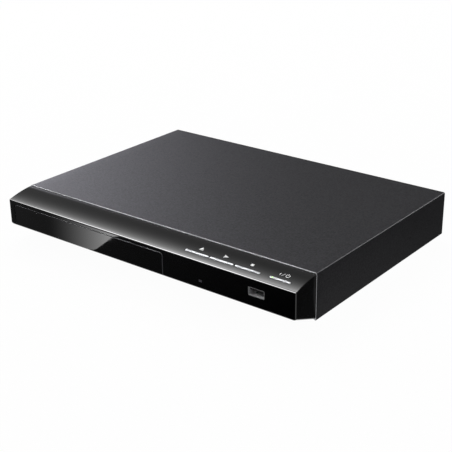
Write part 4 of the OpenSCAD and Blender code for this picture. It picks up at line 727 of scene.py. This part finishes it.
class PLAYER_OT_front_panel(bpy.types.Operator):
    """Builds the moulded front panel with its recess, mouth, slots and windows"""

    bl_idname = "player.front_panel"
    bl_label = "Front panel"

    def execute(self, context):
        recess = prism(round_rect(DOOR_X0 - DOOR_GAP, LOW - 6 * MM, DOOR_X1 + DOOR_GAP,
                                  DOOR_Z1 + DOOR_GAP, DOOR_CORNER, 10), FRONT - PAST, RECESS_Y)
        mouth = prism(round_rect(MOUTH_X0, MOUTH_Z0, MOUTH_X1, MOUTH_Z1, 0.2 * MM, 3),
                      RECESS_Y - PAST, RECESS_Y + LEDGE_T + PAST)
        spans = [(STRIPS["eject_button"][0], STRIPS["stop_button"][1]), STRIPS["power_button"]]
        slots = [prism(strip_loop(a - STRIP_GAP, b + STRIP_GAP, STRIP_W + 2 * STRIP_GAP),
                       -WALL - PAST, PAST, on_slope) for a, b in spans]
        window = face_window(IR_X, IR_Z, IR_W, IR_H, IR_GAP, 0.05 * MM, 3)
        port = face_window(PORT_X, PORT_Z, PORT_W, PORT_H, PORT_GAP, 0.5 * MM, 6)
        shell = carved(panel_form(), cut=[panel_hollow()])
        shell = carved(shell, add=[ledge()])
        shell = carved(shell, cut=[recess, mouth, *slots, window, port])
        # tongues under the cover's front edge, and hooks that hold the chassis
        tongues = [block((x - 12 * MM, SEAM - 4 * MM, CREST_Z - WALL - 0.6 * MM),
                         (x + 12 * MM, SEAM + 5 * MM, TOP - 1.6 * MM), 0.4 * MM)
                   for x in (LEFT + 20 * MM, LOADER_X, RIGHT - 60 * MM, RIGHT - 20 * MM)]
        hooks = [block((x - 3 * MM, SEAM - 1 * MM, LOW + 1.1 * MM),
                       (x + 3 * MM, SEAM + 6 * MM, LOW + 2.6 * MM), 0.4 * MM)
                 for x in (LEFT + 6 * MM, RIGHT - 70 * MM, RIGHT - 20 * MM)]
        shell = carved(shell, add=tongues + hooks)
        dress(piece("front_shell", shell), "gloss_black", "chassis", "front_panel")
        return {"FINISHED"}


class PLAYER_OT_tray_door(bpy.types.Operator):
    """Builds the gloss door that the tray carries"""

    bl_idname = "player.tray_door"
    bl_label = "Tray door"

    def execute(self, context):
        edge = context.scene.player_sizes.door_edge
        back = FRONT + DOOR_T
        side, _ = panel_side()
        side = side[(side[:, 0] < back) & (side[:, 1] < DOOR_Z1 - 1 * MM)]
        low_back = (back, float(belly_z(back)))
        top_front = fillet((FRONT, CHIN_Z + 5 * MM), (FRONT, DOOR_Z1), (back, DOOR_Z1), edge, 7)
        top_back = fillet((FRONT, DOOR_Z1), (back, DOOR_Z1), low_back, edge, 7)
        foot = fillet((back, DOOR_Z1), low_back, side[0], edge * 0.6, 5)
        face_z = np.linspace(side[-1, 1], top_front[0, 1], 12)[1:-1]
        face = np.column_stack([np.full(len(face_z), FRONT), face_z])
        loop = np.concatenate([side[side[:, 0] < foot[-1, 0] - 0.05 * MM], face, top_front,
                               top_back, foot])
        x, d = steps_across(DOOR_X0, DOOR_X1, ((edge, 8), (DOOR_CORNER, 14)), 4 * MM, 40)
        y, z = moved_in(loop, outward(loop), rounding(edge, d))
        # the top corners: heights above the corner's centre shrink to the quarter circle
        limit = DOOR_Z1 - rounding(DOOR_CORNER, d)
        base = DOOR_Z1 - 3 * MM
        z = np.where(z > base, base + (z - base) * (limit - base) / (DOOR_Z1 - base), z)
        # two tabs that reach into the tray, and a bar that stops the door at the recess
        tabs = [block((x0, back - 0.3 * MM, TRAY_LOW + 1 * MM),
                      (x0 + 8 * MM, RECESS_Y + 4.4 * MM, TRAY_LOW + 2.4 * MM), 0.2 * MM)
                for x0 in (LOADER_X - 52 * MM, LOADER_X + 44 * MM)]
        bar = block((LOADER_X - 30 * MM, back - 0.2 * MM, TRAY_LOW + 3 * MM),
                    (LOADER_X + 30 * MM, RECESS_Y - 0.12 * MM, TRAY_LOW + 4.4 * MM), 0.05 * MM)
        door = carved(carried("door", x, y, z), add=[*tabs, bar])

        def near_rim(co):
            """1 at the door's rim and 0 from a little over the edge's radius inwards; in a top
            corner the way to the rim is the corner's radius less that to its centre."""
            side = np.minimum(DOOR_X1 - co[:, 0], co[:, 0] - DOOR_X0)
            above = DOOR_Z1 - co[:, 2]
            corner = DOOR_CORNER - np.hypot(side - DOOR_CORNER, above - DOOR_CORNER)
            rim = np.where((side < DOOR_CORNER) & (above < DOOR_CORNER), corner,
                           np.minimum(side, above))
            return np.clip(1.15 - rim / edge, 0, 1)

        # the finish paints a grey highlight on the vertices near the rim, for the light that the
        # rounded edge catches
        mark_edges(door, near_rim)
        dress(piece("door_plate", door), "gloss_black", "tray", "tray_door")
        return {"FINISHED"}


class PLAYER_OT_top_cover(bpy.types.Operator):
    """Builds the folded steel cover with its rear lip"""

    bl_idname = "player.top_cover"
    bl_label = "Top cover"

    def execute(self, context):
        edge = context.scene.player_sizes.cover_edge
        inner_r = FOLD_R - SHEET
        top_left = fillet((LEFT, LOW), (LEFT, TOP), (RIGHT, TOP), FOLD_R, 12)
        top_right = fillet((LEFT, TOP), (RIGHT, TOP), (RIGHT, LOW), FOLD_R, 12)
        ceiling = TOP - SHEET
        left, right = LEFT + SHEET, RIGHT - SHEET
        in_right = fillet((right, LOW), (right, ceiling), (LEFT, ceiling), inner_r, 12)
        in_left = fillet((RIGHT, ceiling), (left, ceiling), (left, LOW), inner_r, 12)
        span = np.linspace(LEFT, RIGHT, 40)[2:-2]
        over = np.column_stack([span, np.full(len(span), TOP)])
        under = np.column_stack([span[::-1], np.full(len(span), ceiling)])
        foot_r = 0.39 * MM  # above the largest edge radius, so that the inset rows don't cross

        def foot(a, b):
            """The lower end of a side, from its face at a to its face at b."""
            return np.concatenate([fillet((a, TOP), (a, LOW), (b, LOW), foot_r, 4),
                                   fillet((a, LOW), (b, LOW), (b, TOP), foot_r, 4)])

        loop = np.concatenate([foot(left, LEFT), top_left, over, top_right,
                               foot(RIGHT, right), in_right, under, in_left])
        loop = np.roll(loop, -4, axis=0)  # the outer half first, then the inner half
        y, d = steps_across(SEAM, BACK, ((edge, 8),), 4 * MM, 24)
        x, z = moved_in(loop, outward(loop), rounding(edge, d))
        sheet = carried("cover", y, x, z, axis=1, rungs=True)
        lip = loop_solid(round_rect(LEFT + 3 * MM, TOP - 9 * MM, RIGHT - 3 * MM,
                                    ceiling + 0.2 * MM, 1 * MM),
                         [(0, BACK - SHEET), (0, BACK - 0.12 * MM), (0.1 * MM, BACK - 0.02 * MM)],
                         facing_front)
        holes = [prism(disc_loop(x0, TOP - 5 * MM, 1.6 * MM), BACK - 2 * MM, BACK + PAST)
                 for x0 in (LEFT + 14 * MM, 0, RIGHT - 14 * MM)]
        cover = carved(carved(sheet, add=[lip]), cut=holes)
        dress(piece("cover_sheet", cover), "cover_paint", "chassis", "top_cover")
        return {"FINISHED"}


class PLAYER_OT_buttons(bpy.types.Operator):
    """Builds the four silver button strips with their flanges and stems"""

    bl_idname = "player.buttons"
    bl_label = "Button strips"

    def execute(self, context):
        edge = context.scene.player_sizes.strip_edge
        for name, (x0, x1) in STRIPS.items():
            lit = name == "power_button"
            strip = loop_solid(strip_loop(x0, x1, STRIP_W - STRIP_SLIM, 14),
                               round_profile(FLANGE_Z + 0.2 * MM, STRIP_RISE, edge, 8), on_slope)
            flange = loop_solid(
                round_rect(x0 + 0.1 * MM, -2 * MM, x1 - 0.1 * MM, 2 * MM, 0.5 * MM),
                round_profile(FLANGE_Z, FLANGE_Z + 1.1 * MM, 0.15 * MM, 4, 0.15 * MM), on_slope)
            stem_x = x0 + 7.0 * MM if lit else (x0 + x1) / 2
            stem = loop_solid(disc_loop(stem_x, 0, 1.2 * MM),
                              round_profile(STEM_Z, FLANGE_Z + 0.3 * MM, 0, 4, 0.2 * MM),
                              on_slope)
            if lit:  # bored for the light pipe
                strip, flange = (
                    carved(part, cut=[prism(disc_loop(LIGHT_X, 0, LIGHT_R + wider),
                                            STEM_Z - PAST, PAST, on_slope)])
                    for part, wider in ((strip, 0.12 * MM), (flange, 0.3 * MM)))
            body = carved(strip, add=[flange, stem])
            dress(piece(name.replace("_button", "_strip"), body), "button_silver", name, name)
        return {"FINISHED"}


class PLAYER_OT_icons(bpy.types.Operator):
    """Prints the generic icons above the button strips"""

    bl_idname = "player.icons"
    bl_label = "Icons"

    def execute(self, context):
        h = context.scene.player_sizes.icon_size

        def area(x, points):
            """A printed area: its corners are in icon heights from x on the icons' middle line,
            which runs 5.35 mm up the slope from the strips' own."""
            return prism(np.array(points) * h + (x * MM, 5.35 * MM), -0.03 * MM, 0.035 * MM,
                         on_slope)

        def bar(x, half, low, high):
            """An upright rectangle whose width is twice the half."""
            return area(x, [(-half, low), (half, low), (half, high), (-half, high)])

        eject, play, stop, line, slash, ring = 49.4, 70.5, 92.2, 114.6, 117.0, 120.5
        around = np.radians(np.linspace(125, 415, 40))
        obj = piece("printed_icons", joined([
            area(eject, [(-0.82, -0.16), (0.82, -0.16), (0, 0.72)]),
            bar(eject, 0.82, -0.60, -0.32),
            area(play, [(-0.8, -0.66), (1.0, 0.0), (-0.8, 0.66)]),
            bar(stop, 0.55, -0.5, 0.5),
            bar(line, 0.1, -0.5, 0.5),
            area(slash, [(-0.45, -0.62), (-0.25, -0.62), (0.45, 0.62), (0.25, 0.62)]),
            bar(ring, 0.1, 0.1, 0.82),
            area(ring, np.concatenate([arc_points(0, 0, 0.74, around),
                                       arc_points(0, 0, 0.54, around[::-1])])),
        ]))
        # pad-printed epoxy ink: an even, dull light grey film with slightly soft coverage
        obj.data.materials.append(surface(
            "pad_printed_ink", context.scene.player_colours.icon, 0.5, grain_mm=0.4, tone=0.05))
        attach(obj, "chassis")
        return {"FINISHED"}


class PLAYER_OT_finishes(bpy.types.Operator):
    """Gives every carried-over construction node its finish"""

    bl_idname = "player.finishes"
    bl_label = "Finishes"

    def execute(self, context):
        slots = {s["node"]: s["material_slot"] for s in frame["record"]["subparts"]}
        for name, obj in frame["nodes"].items():
            material = finish_of(slots[name])
            if not obj.data.materials:
                obj.data.materials.append(material)
            for i in range(len(obj.data.materials)):
                obj.data.materials[i] = material
        return {"FINISHED"}


# ---------------------------------------------------------------- studio


def facing_axes(azimuth, elevation, roll=0.0):
    """Right, up and backward directions of what looks at the player from that azimuth, taken
    from +Y towards +X, and that elevation, turned by roll in its own plane; all in degrees."""
    a, e, r = (math.radians(angle) for angle in (azimuth, elevation, roll))
    back = np.array([math.sin(a) * math.cos(e), math.cos(a) * math.cos(e), math.sin(e)])
    right = np.cross((0, 0, 1), back)
    right /= np.linalg.norm(right)
    up = np.cross(back, right)
    return np.array([math.cos(r) * right + math.sin(r) * up,
                     math.cos(r) * up - math.sin(r) * right, back])


def stand(obj, axes, at):
    """Puts a lamp or a camera at a place, with the axes as its own."""
    pose = Matrix(axes.tolist()).transposed().to_4x4()
    pose.translation = Vector(at)
    obj.matrix_world = pose


def card(name, azimuth, elevation, distance, width, height, radiance, fades, roll=0.0,
         colour=WHITE):
    """A flat light card that only mirrors see: a grid of two parameters across a rectangle that
    faces the player. Its light grows with the square of the way in over the outer shares,
    fades, of its width and height."""
    right, up, back = facing_axes(azimuth, elevation, roll)
    u, v = np.meshgrid(np.linspace(-0.5, 0.5, 9), np.linspace(-0.5, 0.5, 9))
    grid = back * distance + u[..., None] * right * width + v[..., None] * up * height

    def shape_light(node, across, upwards):
        light = radiance
        for axis, fade in zip((across, upwards), fades):
            off = node("Math", {0: axis}, operation="ABSOLUTE")
            part = node("MapRange", {0: off, 1: 0.5, 2: 0.5 - fade})
            part = node("Math", {0: part, 1: 2.0}, operation="POWER")
            light = node("Math", {0: light, 1: part}, operation="MULTIPLY")
        return light, colour

    light_sheet(name, grid, u, v, shape_light)


def mirrored(spot, normal):
    """Unit directions in which the camera's lines of sight leave a mirror: the sight less twice
    its part along the normal."""
    sight = spot - CAMERA_AT
    sight /= np.linalg.norm(sight, axis=-1, keepdims=True)
    return sight - 2 * (sight * normal).sum(-1, keepdims=True) * normal


def light_sheet(name, grid, share_u, share_v, shape_light):
    """A sheet of light that only mirrors see. shape_light gives its strength and colour from
    the two shares, which are stored as the sheet's UV map."""
    mesh = sheet_mesh(name, grid, ring=False, caps=False)
    share = mesh.uv_layers.new(name="share")
    loops = np.empty(len(mesh.loops), int)
    mesh.loops.foreach_get("vertex_index", loops)
    shares = np.column_stack([share_u.ravel(), share_v.ravel()])
    share.data.foreach_set("uv", shares[loops].ravel())
    material, node, _ = new_material(name)
    axes = node("SeparateXYZ", {0: node("UVMap", uv_map="share")}).outputs
    strength, colour = shape_light(node, axes[0], axes[1])
    glow = node("Emission", {"Color": colour, "Strength": strength})
    clear = node("BsdfTransparent")
    both = node("AddShader", {0: glow, 1: clear})
    node("OutputMaterial", {"Surface": both})
    mesh.materials.append(material)
    mirror_only(placed(name, mesh))


def slope_light(name, y_near, y_far, distance):
    """A curved light sheet that the panel's slope mirrors to the camera: a grid of two
    parameters, each point at one distance along the mirrored line of sight from the point of
    the slope with the same parameters. Its light grows by an even factor from its near rim,
    as a lamp behind a long diffuser falls off, and towards the player's right."""
    u, v = np.meshgrid(np.linspace(0, 1, 25), np.linspace(0, 1, 17), indexing="ij")
    y = y_near + (y_far - y_near) * v
    past = 30 * MM
    spot = np.stack([(LEFT - past) + (RIGHT - LEFT + 2 * past) * u, y, slope_z(y)], -1)
    normal = (spot - (0, ARC_Y, ARC_Z)) * (0, 1, 1) / ARC_R

    def shape_light(node, u, v):
        growth = node("Math", {0: 100.0, 1: v}, operation="POWER")
        growth = node("Math", {0: growth, 1: 1.0}, operation="SUBTRACT")
        across = node("MapRange", {0: u, 3: 0.022, 4: 0.086})
        light = node("Math", {0: growth, 1: across}, operation="MULTIPLY")
        return light, WHITE

    light_sheet(name, spot + mirrored(spot, normal) * distance, u, v, shape_light)


def door_light(name):
    """The light on the floor that the door mirrors: a grid of two parameters, across and up the
    door's face, each carried along the mirrored line of sight to the floor. Its right edge
    draws the slanting line on the door, and its light grows with the square of the way in."""
    u, v = np.meshgrid(np.linspace(0, 1, 33), np.linspace(0, 1, 9), indexing="ij")
    z = (1 + 39 * v) * MM
    left, right = -128 * MM, -30 * MM + (z - 25.5 * MM) * 1.25
    x = left + (right - left) * u
    spot = np.stack([x, np.full_like(x, FRONT), z], -1)
    way = mirrored(spot, np.array((0.0, -1.0, 0.0)))
    grid = spot + way * ((z - 0.6 * MM) / -way[..., 2])[..., None]
    # the light starts 95 mm left of the player's middle and is full 75 mm further right
    share = np.maximum((x + 95 * MM) / (75 * MM), 0)

    def shape_light(node, u, v):
        growth = node("Math", {0: u, 1: 2.0}, operation="POWER")
        light = node("Math", {0: growth, 1: 5.2, 2: 0.03}, operation="MULTIPLY_ADD")
        return light, WHITE

    light_sheet(name, grid, share, v, shape_light)


def shaded_glow(mesh, name, axis, start, stop, near, far):
    """The mesh as an object that only mirrors see, with the named glowing material: its light
    goes from near to far between two places on an axis."""
    material, node, place = new_material(name)
    along = node("SeparateXYZ", {0: place}).outputs[axis]
    level = node("MapRange", {0: along, 1: start, 2: stop, 3: near, 4: far})
    glow = node("Emission", {"Color": WHITE, "Strength": level})
    node("OutputMaterial", {"Surface": glow})
    mesh.materials.append(material)
    mirror_only(placed(mesh.name, mesh))


def level_sheet(name, x_span, y_span, z, count, lean=0.0):
    """A level sheet: a grid of two parameters, which moves along Y by lean times its way in X."""
    u, v = np.meshgrid(np.linspace(*x_span, count), np.linspace(*y_span, count))
    grid = np.stack([u, v + lean * (u - x_span[0]), np.full_like(u, z)], -1)
    return sheet_mesh(name, grid, ring=False, caps=False)


def direct_sight(node):
    """1 for what the camera, a mirror or a clear piece sees, and 0 for light on dull surfaces."""
    seen = node("LightPath").outputs
    sight = node("Math", {0: seen["Is Camera Ray"], 1: seen["Is Glossy Ray"]}, operation="MAXIMUM")
    return node("Math", {0: sight, 1: seen["Is Transmission Ray"]}, operation="MAXIMUM")


def mirror_only(obj):
    """The object is seen by glossy reflections alone."""
    obj.visible_camera = obj.visible_diffuse = obj.visible_shadow = False
    obj.visible_transmission = obj.visible_volume_scatter = False


def soft_light(name, azimuth, elevation, distance, width, height, watts):
    """A rectangular studio lamp that faces the player, kept out of mirror reflections."""
    lamp = bpy.data.lights.new(name, "AREA")
    lamp.shape, lamp.size, lamp.size_y, lamp.energy = "RECTANGLE", width, height, watts
    obj = placed(name, lamp)
    axes = facing_axes(azimuth, elevation)
    stand(obj, axes, axes[2] * distance)
    obj.visible_glossy = False


class PLAYER_OT_studio(bpy.types.Operator):
    """Sets up the pale floor, the soft light, the mirror cards and the camera"""

    bl_idname = "player.studio"
    bl_label = "Studio"

    def execute(self, context):
        scene = context.scene
        # the floor: white to the camera and to mirrors, with the player's soft shadow
        floor_mesh = level_sheet("floor", (-6, 6), (-6, 6), -0.4 * MM, 13)
        material, node, _ = new_material("matt_white_floor")
        share = node("Math", {0: direct_sight(node), 1: 0.97}, operation="MULTIPLY")
        paint = node("BsdfDiffuse", {"Color": tuple(scene.player_colours.floor)})
        glow = node("Emission", {"Color": WHITE})
        mixed = node("MixShader", {0: share, 1: paint, 2: glow})
        node("OutputMaterial", {"Surface": mixed})
        floor_mesh.materials.append(material)
        placed("floor", floor_mesh)

        # the room: white behind the player, plain light on it
        world = bpy.data.worlds.new("studio_room")
        scene.world = world
        world.use_nodes = True
        world.node_tree.nodes.clear()
        node = partial(add, world.node_tree)
        strength = node("MapRange", {0: direct_sight(node), 3: 0.5})
        room = node("Background", {"Color": WHITE, "Strength": strength})
        node("OutputWorld", {"Surface": room})

        # a dark tent round the set, half of a sphere, which only mirrors see
        a, e = np.meshgrid(np.linspace(0, 2 * np.pi, 49)[:-1],
                           np.radians(np.linspace(-1, 89.5, 19)))
        tent_r = 4.0
        grid = np.stack([np.sin(a) * np.cos(e), np.cos(a) * np.cos(e), np.sin(e)], -1) * tent_r
        shaded_glow(sheet_mesh("dark_tent", grid, caps=False), "dark_cloth", 2,
                    tent_r * 0.33, tent_r * 0.5, 0.1, 0.3)

        # black cloths on the floor, in front of the player and at its right, which the upright
        # face, the panel's end and the cover's side mirror; the corner between the first two
        # stays white and lights the edge there. The side's cloth slants as the mirrored lines of
        # sight do. The light on each falls off from the first to the second place on its axis
        slant = -1 / math.tan(math.radians(CAMERA_AZIMUTH))
        far_x, far_y = 1.6, 1.6
        for name, x_span, y_span, lift, lean, light in (
                ("front_cloth", (-far_x, RIGHT + 4 * MM), (-far_y, FRONT - 2 * MM), 0.2 * MM, 0.0,
                 (0, -170 * MM, 110 * MM, 0.11, 0.0)),
                ("end_cloth", (RIGHT - 1 * MM, far_x), (FRONT + 4 * MM, far_y), 0.2 * MM, 0.0,
                 (0, -170 * MM, 110 * MM, 0.035, 0.035)),
                ("side_cloth", (RIGHT - 1 * MM, far_x), (SEAM, far_y), 0.4 * MM, slant,
                 (1, -60 * MM, 120 * MM, 0.155, 0.07))):
            shaded_glow(level_sheet(name, x_span, y_span, lift, 5, lean), name, *light)

        # the cards that draw the highlights on door, slope, nose, cover and fold, the last three
        # by azimuth, elevation, distance, width, height, radiance, fades, roll and colour
        door_light("door_card")
        slope_light("slope_card", -87 * MM, -103 * MM, 2.2)
        card("nose_card", -112, 54, 1.9, 2.2, 1.3, 25.0, (0.2, 0.3))
        card("cover_card", -64, 15, 2.8, 3.4, 1.03, 4.3, (0.5, 0.2), -24, (0.93, 0.92, 1.02, 1.0))
        card("fold_card", 28, 30, 2.8, 1.4, 1.2, 8.0, (0.3, 0.3))
        soft_light("key_lamp", -50, 50, 2.2, 1.6, 1.2, 20)

        camera = bpy.data.cameras.new("camera")
        camera.lens, camera.sensor_width = CAMERA_LENS, SENSOR
        camera.clip_start, camera.clip_end = 0.01, 40
        scene.camera = placed("camera", camera)
        stand(scene.camera, facing_axes(CAMERA_AZIMUTH, CAMERA_ELEVATION, CAMERA_ROLL), CAMERA_AT)
        scene.view_settings.view_transform = "Standard"
        return {"FINISHED"}


class PLAYER_PT_tools(bpy.types.Panel):
    """Lists the steps that build the player"""

    bl_idname = "PLAYER_PT_tools"
    bl_label = "Disc player"
    bl_space_type = "VIEW_3D"
    bl_region_type = "UI"
    bl_category = "Disc player"

    def draw(self, context):
        for step in STEPS:
            self.layout.operator(step.bl_idname)
        for group in (context.scene.player_sizes, context.scene.player_colours):
            for name in group.__annotations__:
                self.layout.prop(group, name)


STEPS = (
    PLAYER_OT_finishes, PLAYER_OT_front_panel, PLAYER_OT_tray_door, PLAYER_OT_top_cover,
    PLAYER_OT_buttons, PLAYER_OT_icons, PLAYER_OT_studio,
)
GROUPS = (PlayerSizes, PlayerColours)


def register():
    for group in (*GROUPS, *STEPS, PLAYER_PT_tools):
        bpy.utils.register_class(group)
    bpy.types.Scene.player_sizes = bpy.props.PointerProperty(type=PlayerSizes)
    bpy.types.Scene.player_colours = bpy.props.PointerProperty(type=PlayerColours)


def unregister():
    del bpy.types.Scene.player_colours
    del bpy.types.Scene.player_sizes
    for group in reversed((*GROUPS, *STEPS, PLAYER_PT_tools)):
        bpy.utils.unregister_class(group)


def main():
    """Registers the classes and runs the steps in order."""
    register()
    for step in STEPS:
        area, name = step.bl_idname.split(".")
        getattr(getattr(bpy.ops, area), name)()


if __name__ == "__main__":
    main()
